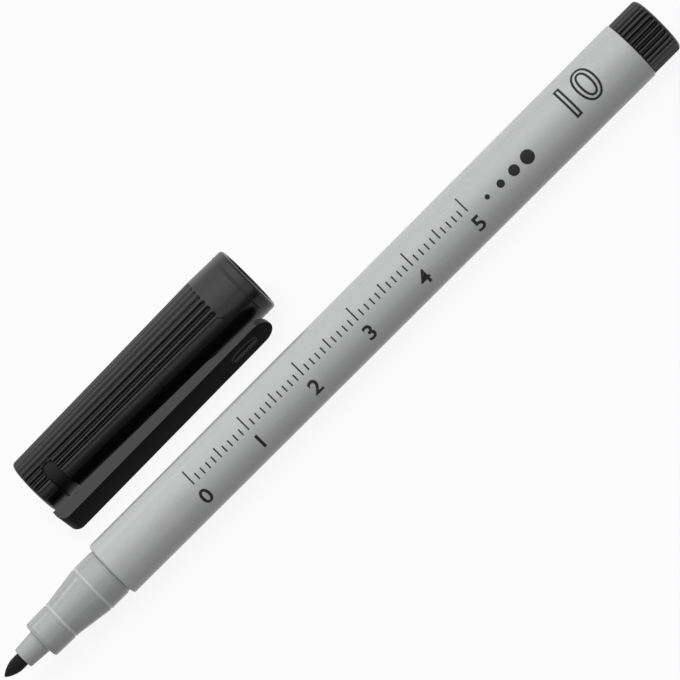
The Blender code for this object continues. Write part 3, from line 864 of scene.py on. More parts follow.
@dataclass
class Grooves:
    """Wavy grooves that run along a turned surface, side by side round its axis."""

    count: int
    width: float
    depth: float
    free_half_angle: float
    end_level: float
    end_side: float
    surface_radius: float
    surface_slope: float
    crest_round: float
    free_depth: float = 0.0
    rib_width: float = 0.14
    edge_width: float = 0.22

    def pitch(self) -> float:
        """Return the angle from one groove to the next; a row with a free stretch has one at each end."""
        return (2 * math.pi - 2 * self.free_half_angle) / (self.count - 1)

    def sizes(self) -> dict[str, float]:
        """Gather the tree's named inputs.

        Returns:
            Their values, by their names.
        """
        return {
            "Pitch": self.pitch(),
            "Free Half Angle": self.free_half_angle,
            "Half Width": self.width / 2,
            "Depth": self.depth,
            "Line End": self.end_level - self.end_side * self.width / 2,
            "End Side": self.end_side,
            "Surface Radius": self.surface_radius,
            "Surface Slope": self.surface_slope,
            "Crest Round": self.crest_round,
            "Rib Reach": self.width / 2 + self.rib_width,
            "Edge Width": self.edge_width,
            "Free Depth": self.free_depth,
        }

    def tree(self, name: str, material: Material) -> ShapeTree:
        """Build the tree that presses the grooves into a turned mesh.

        Each vertex moves in by a soft wave that is deepest on the groove's line and fades out round its
        end. The free stretch beside the row lies a little lower than the ribs, with a soft edge.

        Args:
            name: The tree's name.
            material: The finish of the result.

        Returns:
            The tree.
        """
        tree = ShapeTree(name)
        size = {label: tree.size(label) for label in self.sizes()}
        split = tree.add("ShaderNodeSeparateXYZ")
        tree.feed(split.inputs[0], tree.add("GeometryNodeInputPosition").outputs[0])
        x, y, level = split.outputs
        square = tree.math("ADD", tree.math("MULTIPLY", x, x), tree.math("MULTIPLY", y, y))
        radius = tree.math("MAXIMUM", tree.math("SQRT", square), WELD)
        turn = tree.math("ABSOLUTE", tree.math("ARCTAN2", y, x))
        past = tree.math("SUBTRACT", turn, size["Free Half Angle"])
        nearest = tree.math("MAXIMUM", tree.math("ROUND", tree.math("DIVIDE", past, size["Pitch"])), 0.0)
        off_line = tree.math("SUBTRACT", past, tree.math("MULTIPLY", nearest, size["Pitch"]))
        aside = tree.math("MULTIPLY", off_line, radius)
        over = tree.math("MULTIPLY", tree.math("SUBTRACT", level, size["Line End"]), size["End Side"])
        beyond = tree.math("MAXIMUM", over, 0.0)
        reach = tree.math("ADD", tree.math("MULTIPLY", aside, aside), tree.math("MULTIPLY", beyond, beyond))
        away = tree.math("MINIMUM", tree.math("DIVIDE", tree.math("SQRT", reach), size["Half Width"]), 1.0)
        wave = tree.math("COSINE", tree.math("MULTIPLY", away, math.pi))
        cut = tree.math("MULTIPLY", tree.math("MULTIPLY_ADD", wave, 0.5, 0.5), size["Depth"])
        surface = tree.math("MULTIPLY_ADD", level, size["Surface Slope"], size["Surface Radius"])
        within = tree.math("SUBTRACT", tree.math("MULTIPLY", aside, -1.0), size["Rib Reach"])
        ease = {"Value": tree.math("SUBTRACT", within, beyond), "From Max": size["Edge Width"],
                "To Max": size["Free Depth"]}
        sunk = tree.add("ShaderNodeMapRange", ease, interpolation_type="SMOOTHSTEP").outputs["Result"]
        outer = tree.math("MINIMUM", radius, tree.math("SUBTRACT", surface, sunk))
        floor = tree.math("SUBTRACT", surface, cut)
        lowered = tree.math("SMOOTH_MIN", outer, floor, size["Crest Round"])
        share = tree.math("DIVIDE", lowered, radius)
        moved = tree.vector(tree.math("MULTIPLY", x, share), tree.math("MULTIPLY", y, share), level)
        inputs = {"Geometry": tree.start.outputs["Geometry"], "Position": moved}
        tree.close(tree.add("GeometryNodeSetPosition", inputs).outputs["Geometry"], material)
        return tree

    def pressed(self, mesh: Mesh, material: Material) -> Mesh:
        """Press the grooves into a turned mesh, which has to be fine enough round its axis to follow them."""
        return self.tree(f"{mesh.name}_grooves", material).shaped(mesh, self.sizes())


@dataclass
class Barrel:
    """The tapered tube that holds the ink reservoir."""

    place: Matrix
    length: float = 95.8
    front_radius: float = 4.25
    rear_radius: float = 4.50
    bore_radius: float = 3.40
    lip_round: float = 0.35
    rear_round: float = 0.18
    inner_round: float = 0.06

    def surface_radius(self, level: np.ndarray) -> np.ndarray:
        """Return the outside radius at levels above the rear end."""
        return self.rear_radius + (self.front_radius - self.rear_radius) * level / self.length

    def build(self, material: Material) -> Item:
        """Turn the barrel and lay it.

        Args:
            material: The barrel's finish.

        Returns:
            The piece.
        """
        outline = rounded([
            Corner(self.bore_radius, self.length, self.inner_round),
            Corner(self.front_radius, self.length, self.lip_round),
            Corner(self.rear_radius, 0.0, self.rear_round),
            Corner(self.bore_radius, 0.0, self.inner_round),
        ], closed=True)
        mesh = turned("marker_barrel", outline, closed=True)
        return lay(mesh, material, self.place, Body.PEN, "barrel")


@dataclass
class FrontSection:
    """The stepped moulding in the barrel's front end: collar, cone, sealing seat and nib sleeve."""

    place: Matrix
    barrel: Barrel
    collar_radius: float = 3.62
    collar_length: float = 3.50
    cone_length: float = 5.85
    seal_root_radius: float = 2.88
    seal_front_radius: float = 2.82
    seal_length: float = 3.65
    seal_round: float = 0.25
    sleeve_root_radius: float = 1.78
    sleeve_tip_radius: float = 1.55
    sleeve_length: float = 3.30
    sleeve_round: float = 0.12
    root_fillet: float = 0.10
    bead_height: float = 0.06
    bead_width: float = 0.42
    bead_round: float = 0.04
    groove_width: float = 0.16
    groove_depth: float = 0.09
    groove_round: float = 0.02
    rim_width: float = 0.46
    rim_groove: float = 0.10
    undercut_width: float = 0.34
    nib_hole_radius: float = 1.11
    nib_hole_round: float = 0.04
    nib_channel: float = 11.0
    spigot_radius: float = 3.30
    spigot_bore_radius: float = 2.40
    spigot_length: float = 9.0
    spigot_chamfer: float = 0.40

    def sleeve_top(self) -> float:
        """Return the level of the sleeve's front edge."""
        steps = self.collar_length + self.cone_length + self.seal_length + self.sleeve_length
        return self.barrel.length + steps

    def groove(self, radius: float, level: float, width: float) -> list[Corner]:
        """Return the first three corners of a fine groove: its front edge and its floor.

        Args:
            radius: The surface's radius there.
            level: The level of the groove's rear edge.
            width: Its width.

        Returns:
            The corners, from the nib's side down.
        """
        bottom = radius - self.groove_depth
        return [
            Corner(radius, level + width, self.groove_round),
            Corner(bottom, level + width, self.groove_round),
            Corner(bottom, level, self.groove_round),
        ]

    def bead(self, radius: float, level: float) -> list[Corner]:
        """Return the corners of a step: a fine groove on the nib's side and the rounded bead behind it.

        Args:
            radius: The surface's radius there.
            level: The level of the bead's upper edge.

        Returns:
            The corners, from the nib's side down.
        """
        return [
            *self.groove(radius, level, self.groove_width),
            Corner(radius + self.bead_height, level - self.bead_width / 2, self.bead_round),
            Corner(radius, level - self.bead_width, self.bead_round),
        ]

    def build(self, material: Material, edge: Material) -> Item:
        """Turn the front section and lay it.

        Args:
            material: Its finish.
            edge: The paler grey of its two beads, a painted highlight along their rims.

        Returns:
            The piece.
        """
        rim = self.barrel.length
        collar_top = rim + self.collar_length
        cone_top = collar_top + self.cone_length
        seal_top = cone_top + self.seal_length
        sleeve_top = self.sleeve_top()
        foot = rim - self.spigot_length
        shoulder = rim + SEAT_GAP
        funnel = sleeve_top - self.nib_channel
        outline = rounded([
            Corner(self.nib_hole_radius, sleeve_top, self.nib_hole_round),
            Corner(self.sleeve_tip_radius, sleeve_top, self.sleeve_round),
            Corner(self.sleeve_root_radius, seal_top, self.root_fillet),
            Corner(self.seal_front_radius, seal_top, self.seal_round),
            *self.groove(self.seal_front_radius, seal_top - self.rim_width, self.rim_groove),
            Corner(self.seal_front_radius, seal_top - self.rim_width, self.groove_round),
            *self.bead(self.seal_root_radius, cone_top),
            *self.bead(self.collar_radius, collar_top),
            *self.groove(self.collar_radius, shoulder, self.undercut_width),
            Corner(self.spigot_radius, shoulder),
            Corner(self.spigot_radius, foot + self.spigot_chamfer),
            Corner(self.spigot_radius - self.spigot_chamfer, foot),
            Corner(self.spigot_bore_radius, foot),
            Corner(self.spigot_bore_radius, funnel - (self.spigot_bore_radius - self.nib_hole_radius)),
            Corner(self.nib_hole_radius, funnel),
        ], closed=True, steps=SMALL_ARC_STEPS)
        mesh = turned("front_cone", outline, closed=True)
        piece = lay(mesh, material, self.place, Body.PEN, "front_section")
        home = self.place.inverted()
        levels = [(home @ polygon.center).z for polygon in mesh.polygons]
        tops = (cone_top, collar_top)
        # The two beads take the paler grey, a painted highlight along their rims.
        paint(mesh, edge, [any(top - self.bead_width < level < top for top in tops) for level in levels])
        return piece


@dataclass
class Nib:
    """The fibre rod with a bullet point that writes."""

    place: Matrix
    front: FrontSection
    radius: float = 1.01
    exposed: float = 3.40
    point_length: float = 2.30
    point_fall: float = 1.6
    point_swell: float = 0.75
    foot_level: float = 80.68
    point_rings: int = 40
    rod_rings: int = 8
    strands: tuple[int, ...] = (17, 29, 41, 53)
    strand_depth: float = 0.006
    seed: int = 7

    def build(self, material: Material) -> Item:
        """Turn the nib, roughen it along its fibres and lay it.

        Args:
            material: Its finish.

        Returns:
            The piece.
        """
        sleeve_top = self.front.sleeve_top()
        top = sleeve_top + self.exposed
        shares = np.sin(np.linspace(0.0, math.pi / 2, self.point_rings + 1))[::-1]
        outline = [(self.radius * (1 - share ** self.point_fall) ** self.point_swell,
                    top - self.point_length * (1 - share)) for share in shares]
        levels = np.linspace(top - self.point_length, sleeve_top - self.exposed, self.rod_rings + 1)[1:]
        outline += [(self.radius, float(level)) for level in levels]
        outline += [(self.radius, self.foot_level), (0.0, self.foot_level)]
        mesh = turned("fibre_nib", outline)
        span, angle = polar(points_of(mesh))
        phases = np.random.default_rng(self.seed).uniform(0.0, 2 * math.pi, len(self.strands))
        wave = sum(np.cos(count * angle + phase) for count, phase in zip(self.strands, phases))
        inward = self.strand_depth * (wave / len(self.strands) - 1.0) * span / self.radius
        move_out(mesh, span > WELD, inward)
        return lay(mesh, material, self.place, Body.PEN, "nib")


@dataclass
class EndPlug:
    """The ribbed plug in the barrel's rear end."""

    place: Matrix
    knob_radius: float = 4.35
    knob_length: float = 4.82
    knob_round: float = 0.65
    rim_round: float = 0.05
    end_wall: float = 3.44
    spigot_length: float = 8.0
    spigot_radius: float = 3.30
    spigot_bore_radius: float = 2.40
    spigot_bore_round: float = 0.3
    spigot_chamfer: float = 0.40
    groove_count: int = 32
    groove_width: float = 0.82
    groove_depth: float = 0.46
    groove_end: float = 0.22
    rib_round: float = 0.04
    rib_turn: float = math.radians(4.0)
    knob_rings: int = 40
    first_ring: float = 0.12
    last_ring: float = 1.02

    def build(self, material: Material) -> Item:
        """Turn the plug, press in the grooves between its ribs and lay it.

        Args:
            material: Its finish.

        Returns:
            The piece.
        """
        top = -SEAT_GAP
        foot = top - self.knob_length
        hollow = foot + self.end_wall
        rings = np.linspace(top - self.first_ring, foot + self.knob_round * self.last_ring, self.knob_rings)
        outline = rounded([
            Corner(0.0, hollow),
            Corner(self.spigot_bore_radius, hollow, self.spigot_bore_round),
            Corner(self.spigot_bore_radius, self.spigot_length),
            Corner(self.spigot_radius - self.spigot_chamfer, self.spigot_length),
            Corner(self.spigot_radius, self.spigot_length - self.spigot_chamfer),
            Corner(self.spigot_radius, top),
            Corner(self.knob_radius, top, self.rim_round),
            *[Corner(self.knob_radius, float(level)) for level in rings],
            Corner(self.knob_radius, foot, self.knob_round),
            Corner(0.0, foot),
        ])
        grooves = Grooves(
            count=self.groove_count, width=self.groove_width, depth=self.groove_depth,
            free_half_angle=math.pi / self.groove_count, end_level=foot + self.groove_end, end_side=-1.0,
            surface_radius=self.knob_radius, surface_slope=0.0, crest_round=self.rib_round)
        mesh = grooves.pressed(turned("ribbed_plug", outline, steps=FINE_STEPS), material)
        turned_place = self.place @ Matrix.Rotation(self.rib_turn, 4, "Z")
        return lay(mesh, material, turned_place, Body.PEN, "end_plug")


@dataclass
class InkStore:
    """The ink reservoir and its film, which stay as packed and get their finishes here."""

    rod_node: str = "ink_reservoir"
    film_node: str = "reservoir_wrap"

    def dress(self, fibre: Material, film: Material) -> None:
        """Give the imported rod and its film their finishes.

        Args:
            fibre: The rod's finish.
            film: The film's finish.
        """
        for node, material in ((self.rod_node, fibre), (self.film_node, film)):
            mesh = frame["nodes"][node].data
            mesh.materials.clear()
            mesh.materials.append(material)
            LOG.info("%s: packed solid, dressed", node)


@dataclass
class BarrelPrint:
    """The black print on the barrel: a centimetre scale, a row of dots and an outlined line width."""

    place: Matrix
    barrel: Barrel
    thickness: float = 0.012
    sunk: float = 0.010
    bend_step: float = 0.20
    scale_start: float = 80.1
    scale_length: int = 50
    half_step: int = 5
    whole_step: int = 10
    base_height: float = 0.25
    line_width: float = 0.21
    line_cuts: int = 12
    numeral_height: float = 2.30
    numeral_drop: float = 3.05
    swell: float = 0.06
    digit_share: float = 0.73
    width_text: str = "10"
    width_level: float = 9.3
    width_height: float = 5.0
    width_lift: float = 1.3
    stroke: float = 0.165
    dot_level: float = 27.0
    dot_count: int = 4
    dot_pitch: float = 2.45
    dot_first: float = 0.70
    dot_growth: float = 0.42
    dot_height: float = -0.25
    dot_sides: int = 48
    dot_rings: int = 5

    def depth(self) -> float:
        """Return the thickness of a print body, with the part that is sunk into the barrel."""
        return self.thickness + self.sunk

    def wrapped(self, mesh: Mesh, level: float, height: float) -> Mesh:
        """Bend a flat print round the barrel.

        Args:
            mesh: The print: x along the barrel towards the plug, y upwards, z through its thickness.
            level: The level above the barrel's rear end of its x = 0.
            height: The distance round the barrel of its y = 0 above the line that faces the viewer.

        Returns:
            The same mesh, in the pen's millimetres.
        """
        points = points_of(mesh)
        along = level - points[:, 0]
        surface = self.barrel.surface_radius(along)
        facing = VIEW_ELEVATION - math.pi / 2
        angle = facing + (points[:, 1] + height) / surface
        radius = surface + points[:, 2] + (self.thickness - self.sunk) / 2
        set_points(mesh, np.column_stack((radius * np.cos(angle), radius * np.sin(angle), along)))
        return mesh

    def sliced(self, mesh: Mesh) -> Mesh:
        """Cut a flat print into strips that are narrow enough to bend round the barrel.

        Args:
            mesh: The print, which is changed.

        Returns:
            The same mesh.
        """
        heights = points_of(mesh)[:, 1]
        with edited(mesh) as work:
            for height in np.arange(heights.min(), heights.max(), self.bend_step)[1:]:
                geometry = [*work.verts, *work.edges, *work.faces]
                bmesh.ops.bisect_plane(
                    work, geom=geometry, plane_co=(0.0, float(height), 0.0), plane_no=(0.0, 1.0, 0.0))
        return mesh

    def numerals(self, name: str, text: str, height: float, swell: float, thickness: float) -> Mesh:
        """Return plain numerals as a flat closed mesh, centred on x with their feet at y = 0.

        Args:
            name: The mesh's name.
            text: The numerals.
            height: Their height.
            swell: How far their edges are moved out, or in where it is negative.
            thickness: The extent along Z.

        Returns:
            The mesh.
        """
        curve = bpy.data.curves.new(name, "FONT")
        curve.body = text
        curve.size = height / self.digit_share
        curve.offset = swell
        curve.extrude = thickness / 2
        curve.align_x = "CENTER"
        return welded(baked(held(curve)))

    def build_ticks(self, material: Material) -> Item:
        """Set the scale's lines side by side, longer at each fifth and tenth, and lay them.

        Args:
            material: The print's finish.

        Returns:
            The piece.
        """
        tree = ShapeTree("scale_lines")
        count = tree.size("Line Count", "NodeSocketInt")
        pitch, width, depth = (tree.size(name) for name in ("Pitch", "Line Width", "Depth"))
        lengths = {tick: tree.size(tick.label()) for tick in Tick}
        bar = tree.add("GeometryNodeMeshCube", {
            "Size": tree.vector(width, 1.0, depth), "Vertices Y": self.line_cuts})
        standing = tree.add("GeometryNodeTransform", {
            "Geometry": bar.outputs["Mesh"], "Translation": Vector((0.0, 0.5, 0.0))})
        index = tree.add("GeometryNodeInputIndex").outputs[0]
        length: Socket = lengths[Tick.SHORT]
        for every, tick in ((self.half_step, Tick.MIDDLE), (self.whole_step, Tick.LONG)):
            on = tree.math("LESS_THAN", tree.math("MODULO", index, float(every)), 0.5)
            gain = tree.math("MULTIPLY", on, tree.math("SUBTRACT", lengths[tick], length))
            length = tree.math("ADD", length, gain)
        stretch = tree.vector(1.0, length, 1.0)
        tree.close(tree.copies(tree.row(count, pitch), standing.outputs["Geometry"], stretch), material)
        sizes = {tick.label(): tick.value for tick in Tick}
        sizes |= {"Line Count": self.scale_length + 1, "Pitch": 1.0, "Line Width": self.line_width,
                  "Depth": self.depth()}
        mesh = tree.shaped(bpy.data.meshes.new("print_scale_lines"), sizes)
        self.wrapped(mesh, self.scale_start, self.base_height)
        return lay(mesh, material, self.place, Body.PEN)

    def build_numbers(self, material: Material) -> Item:
        """Number the scale's tenth lines and lay the numbers.

        Args:
            material: The print's finish.

        Returns:
            The piece.
        """
        mesh = bpy.data.meshes.new("print_scale_numbers")
        with edited(mesh) as work:
            for number in range(self.scale_length // self.whole_step + 1):
                flat = self.numerals("numeral", str(number), self.numeral_height, self.swell, self.depth())
                level = self.scale_start - self.whole_step * number
                work.from_mesh(self.wrapped(self.sliced(flat), level, -self.numeral_drop))
        return lay(mesh, material, self.place, Body.PEN)

    def build_width(self, material: Material) -> Item:
        """Draw the line width's number as an outline and lay it.

        Args:
            material: The print's finish.

        Returns:
            The piece.
        """
        height, depth = self.width_height, self.depth()
        outer = self.numerals("print_line_width", self.width_text, height, self.stroke, depth)
        inner = self.numerals("hollow", self.width_text, height, -self.stroke, CUT_THROUGH * depth)
        mesh = self.sliced(combined(outer, inner, "DIFFERENCE"))
        self.wrapped(mesh, self.width_level, self.width_lift - height / 2)
        return lay(mesh, material, self.place, Body.PEN)

    def build_dots(self, material: Material) -> Item:
        """Set a row of dots that grow towards the plug and lay it.

        Args:
            material: The print's finish.

        Returns:
            The piece.
        """
        tree = ShapeTree("growing_dots")
        count = tree.size("Dot Count", "NodeSocketInt")
        pitch, first, growth, depth = (tree.size(name) for name in ("Pitch", "First Dot", "Growth", "Depth"))
        disc = tree.add("GeometryNodeMeshCylinder", {
            "Vertices": self.dot_sides, "Fill Segments": self.dot_rings, "Radius": 0.5, "Depth": depth})
        index = tree.add("GeometryNodeInputIndex").outputs[0]
        across = tree.math("MULTIPLY_ADD", index, growth, first)
        stretch = tree.vector(across, across, 1.0)
        tree.close(tree.copies(tree.row(count, pitch), disc.outputs["Mesh"], stretch), material)
        sizes = {"Dot Count": self.dot_count, "Pitch": self.dot_pitch, "First Dot": self.dot_first,
                 "Growth": self.dot_growth, "Depth": self.depth()}
        mesh = tree.shaped(bpy.data.meshes.new("print_dots"), sizes)
        self.wrapped(mesh, self.dot_level, self.dot_height)
        return lay(mesh, material, self.place, Body.PEN)


@dataclass
class CapShell:
    """The fluted cup of the cap, with its vent window and the block that carries the clip."""

    place: Matrix
    length: float = 40.27
    end_radius: float = 4.57
    end_round: float = 0.70
    end_wall: float = 1.20
    bore_radius: float = 4.02
    bore_round: float = 0.30
    shoulder: float = 36.07
    mouth_radius: float = 4.35
    mouth_chamfer: float = 0.15
    mouth_round: float = 0.05
    lip_radius: float = 5.18
    lip_length: float = 1.65
    lip_round: float = 0.50
    ridge_height: float = 0.06
    ridge_width: float = 0.26
    ridge_round: float = 0.04
    ridge_foot_round: float = 0.01
    band_shares: tuple[float, ...] = (0.5, 0.2, 0.06)
    flare_radius: float = 5.28
    smooth_mouth: float = 6.1
    flute_count: int = 23
    flute_width: float = 0.92
    flute_depth: float = 0.42
    flute_crest: float = 0.04
    flute_end: float = 1.2
    flute_end_rings: int = 22
    free_depth: float = 0.08
    free_half_angle: float = math.radians(54.6)
    side_start: float = 30.0
    side_step: float = 3.0
    ring_margin: float = 0.05
    end_rings: int = 4
    window_start: float = 2.77
    window_width: float = 1.95
    window_half_angle: float = math.radians(78.0)
    window_end_slack: float = math.radians(0.1)
    window_corner: float = 0.80
    window_corner_steps: int = 8
    window_round: float = 0.12
    window_round_rings: int = 7
    window_rings: int = 5
    window_turns: int = 81
    clear_above_window: float = 0.8
    clear_below_window: float = 0.4
    root_width: float = 2.2
    root_start: float = 0.35
    root_top: float = 5.93
    root_round: float = 0.12
    root_round_steps: int = 3

    def slope(self) -> float:
        """Return how much the outside widens for each millimetre towards the mouth."""
        return (self.flare_radius - self.end_radius) / (self.length - self.smooth_mouth - self.end_round)

    def surface_radius(self, level: float) -> float:
        """Return the radius of the tapered outside at a level above the closed end."""
        return self.end_radius + (level - self.end_round) * self.slope()

    def wall_middle(self) -> float:
        """Return the radius at the middle of the wall, near the closed end."""
        return (self.bore_radius + self.end_radius) / 2

    def window_middle(self) -> float:
        """Return the level of the window's middle line."""
        return self.window_start + self.window_width / 2

    def side_levels(self) -> list[float]:
        """Choose the levels of the rings down the tapered outside, close where flutes and window end.

        Returns:
            The levels, from the mouth's side down.
        """
        top = self.length - self.smooth_mouth
        low, high = self.window_start, self.window_start + self.window_width
        edge = np.linspace(0.0, self.window_round, self.window_round_rings)
        levels = np.concatenate((
            np.linspace(top + self.ring_margin, top - self.flute_end, self.flute_end_rings),
            np.arange(self.side_start, high + self.clear_above_window, -self.side_step),
            high + edge[::-1],
            np.linspace(high, low, self.window_rings)[1:-1],
            low - edge,
            np.linspace(low - self.clear_below_window, self.end_round + self.ring_margin, self.end_rings)))
        return [float(level) for level in levels]

    def ridge(self) -> list[Corner]:
        """Draw the fine ridge that parts the lip from the band behind it.

        Returns:
            Its corners, from the mouth's side down.
        """
        foot, crest = self.length - self.lip_length, self.lip_radius + self.ridge_height
        return [
            Corner(self.lip_radius, foot + self.ridge_width, self.ridge_round),
            Corner(crest, foot + self.ridge_width / 2, self.ridge_round),
            Corner(crest, foot, self.ridge_round),
            Corner(self.lip_radius, foot - self.ridge_width / 2, self.ridge_foot_round),
        ]

    def band(self) -> list[Corner]:
        """Choose the corners of the smooth band behind the ridge, close together where the flutes end.

        Returns:
            The corners, from the mouth's side down.
        """
        low, high = self.length - self.smooth_mouth, self.length - self.lip_length - self.ridge_width / 2
        narrowing = self.lip_radius - self.flare_radius
        return [Corner(self.flare_radius + narrowing * share, low + (high - low) * share)
                for share in self.band_shares]

    def turned_cup(self) -> Mesh:
        """Turn the cup, with its bore, shoulder, mouth and lip.

        Returns:
            The mesh, in the cap's millimetres.
        """
        outline = rounded([
            Corner(0.0, self.end_wall),
            Corner(self.bore_radius, self.end_wall, self.bore_round),
            Corner(self.bore_radius, self.shoulder, self.mouth_round),
            Corner(self.mouth_radius, self.shoulder, self.mouth_round),
            Corner(self.mouth_radius, self.length - self.mouth_chamfer, self.mouth_round),
            Corner(self.mouth_radius + self.mouth_chamfer, self.length, self.mouth_round),
            Corner(self.lip_radius, self.length, self.lip_round),
            *self.ridge(),
            *self.band(),
            *[Corner(self.surface_radius(level), level) for level in self.side_levels()],
            Corner(self.surface_radius(0.0), 0.0, self.end_round),
            Corner(0.0, 0.0),
        ], steps=SMALL_ARC_STEPS)
        return turned("cap_cup", outline, steps=FINE_STEPS)

    def window_distance(self, points: np.ndarray) -> np.ndarray:
        """Measure how far points of the outside lie from the window's edge.

        Args:
            points: The points, one to a row.

        Returns:
            The distances, negative inside the window.
        """
        radius, angle = polar(points)
        aside = (np.abs(angle) - self.window_half_angle) * radius + self.window_corner
        above = np.abs(points[:, 2] - self.window_middle()) - self.window_width / 2 + self.window_corner
        outside = np.hypot(np.maximum(aside, 0.0), np.maximum(above, 0.0))
        return outside + np.minimum(np.maximum(aside, above), 0.0) - self.window_corner

    def soften_window(self, mesh: Mesh) -> None:
        """Round the outside over towards the window's edge, where the cut then ends it.

        Args:
            mesh: The turned cup.
        """
        points = points_of(mesh)
        radius, _ = polar(points)
        on_side = (points[:, 2] > self.end_round) & (points[:, 2] < self.length / 2)
        outer = on_side & (radius > self.wall_middle())
        room = np.clip(1.0 - self.window_distance(points) / self.window_round, 0.0, 1.0)
        drop = self.window_round * (1.0 - np.sqrt(1.0 - room * room))
        move_out(mesh, outer, -drop)

    def ends_window(self, edge: bmesh.types.BMEdge) -> bool:
        """Tell whether an edge of the window's tool runs outwards at a corner of the window.

        Args:
            edge: The edge.

        Returns:
            Whether it does.
        """
        first, second = (vertex.co for vertex in edge.verts)
        turns = [math.atan2(spot.y, spot.x) for spot in (first, second)]
        at_end = all(abs(abs(turn) - self.window_half_angle) < self.window_end_slack for turn in turns)
        return at_end and turns[0] * turns[1] > 0 and abs(first.z - second.z) < WELD

    def window_tool(self) -> Mesh:
        """Make the tool that cuts the window: a band of a ring, with rounded ends, on both sides of the clip.

        Returns:
            The mesh.
        """
        sweep = np.linspace(-self.window_half_angle, self.window_half_angle, self.window_turns)
        outside, inside = self.flare_radius + self.window_width, self.bore_radius - self.window_width
        outline = [(radius * math.cos(turn), radius * math.sin(turn))
                   for radius, turns in ((outside, sweep), (inside, sweep[::-1])) for turn in turns]
        band = extruded("vent_window", outline, self.window_width)
        with edited(band) as work:
            corners = [edge for edge in work.edges if self.ends_window(edge)]
            bmesh.ops.bevel(work, geom=corners, offset=self.window_corner, segments=self.window_corner_steps,
                            profile=ROUND_PROFILE, affect="EDGES")
        band.transform(Matrix.Translation((0.0, 0.0, self.window_middle())))
        return band

    def root_block(self) -> Mesh:
        """Make the block that carries the clip, with its edges eased.

        Returns:
            The mesh.
        """
        inner, middle = self.wall_middle(), self.window_middle()
        size = Vector((self.root_top - inner, self.root_width, middle - self.root_start))
        centre = Vector(((self.root_top + inner) / 2, 0.0, (middle + self.root_start) / 2))
        mesh = bpy.data.meshes.new("clip_root")
        with edited(mesh) as work:
            place = Matrix.Translation(centre) @ Matrix.Diagonal((*size, 1.0))
            bmesh.ops.create_cube(work, size=1.0, matrix=place)
            bmesh.ops.bevel(work, geom=work.edges[:], offset=self.root_round, segments=self.root_round_steps,
                            profile=ROUND_PROFILE, affect="EDGES")
        return mesh

    def build(self, material: Material) -> Item:
        """Turn the cup, press in its flutes, add the clip's block, cut the window and lay the shell.

        Args:
            material: Its finish.

        Returns:
            The piece.
        """
        flutes = Grooves(
            count=self.flute_count, width=self.flute_width, depth=self.flute_depth,
            free_half_angle=self.free_half_angle, end_level=self.length - self.smooth_mouth, end_side=1.0,
            surface_radius=self.surface_radius(0.0), surface_slope=self.slope(),
            crest_round=self.flute_crest, free_depth=self.free_depth)
        mesh = flutes.pressed(self.turned_cup(), material)
        self.soften_window(mesh)
        mesh = combined(mesh, self.root_block(), "UNION")
        mesh = combined(mesh, self.window_tool(), "DIFFERENCE")
        return lay(mesh, material, self.place, Body.CAP, "cap_shell")


@dataclass
class InnerCap:
    """The cup inside the cap that closes round the sealing seat; it shows in the vent window."""

    place: Matrix
    foot: float = 1.32
    top: float = 26.72
    end_radius: float = 3.98
    bore_radius: float = 3.04
    wall: float = 0.45
    base: float = 1.0
    lip_round: float = 0.18
    bore_round: float = 0.10
    floor_round: float = 0.25
    foot_round: float = 0.15

    def build(self, material: Material) -> Item:
        """Turn the inner cap and lay it.

        Args:
            material: Its finish.

        Returns:
            The piece.
        """
        floor = self.foot + self.base
        outline = rounded([
            Corner(0.0, floor),
            Corner(self.end_radius - self.wall, floor, self.floor_round),
            Corner(self.bore_radius, self.top, self.bore_round),
            Corner(self.bore_radius + self.wall, self.top, self.lip_round),
            Corner(self.end_radius, self.foot, self.foot_round),
            Corner(0.0, self.foot),
        ])
        return lay(turned("cap_liner", outline), material, self.place, Body.CAP, "inner_cap")


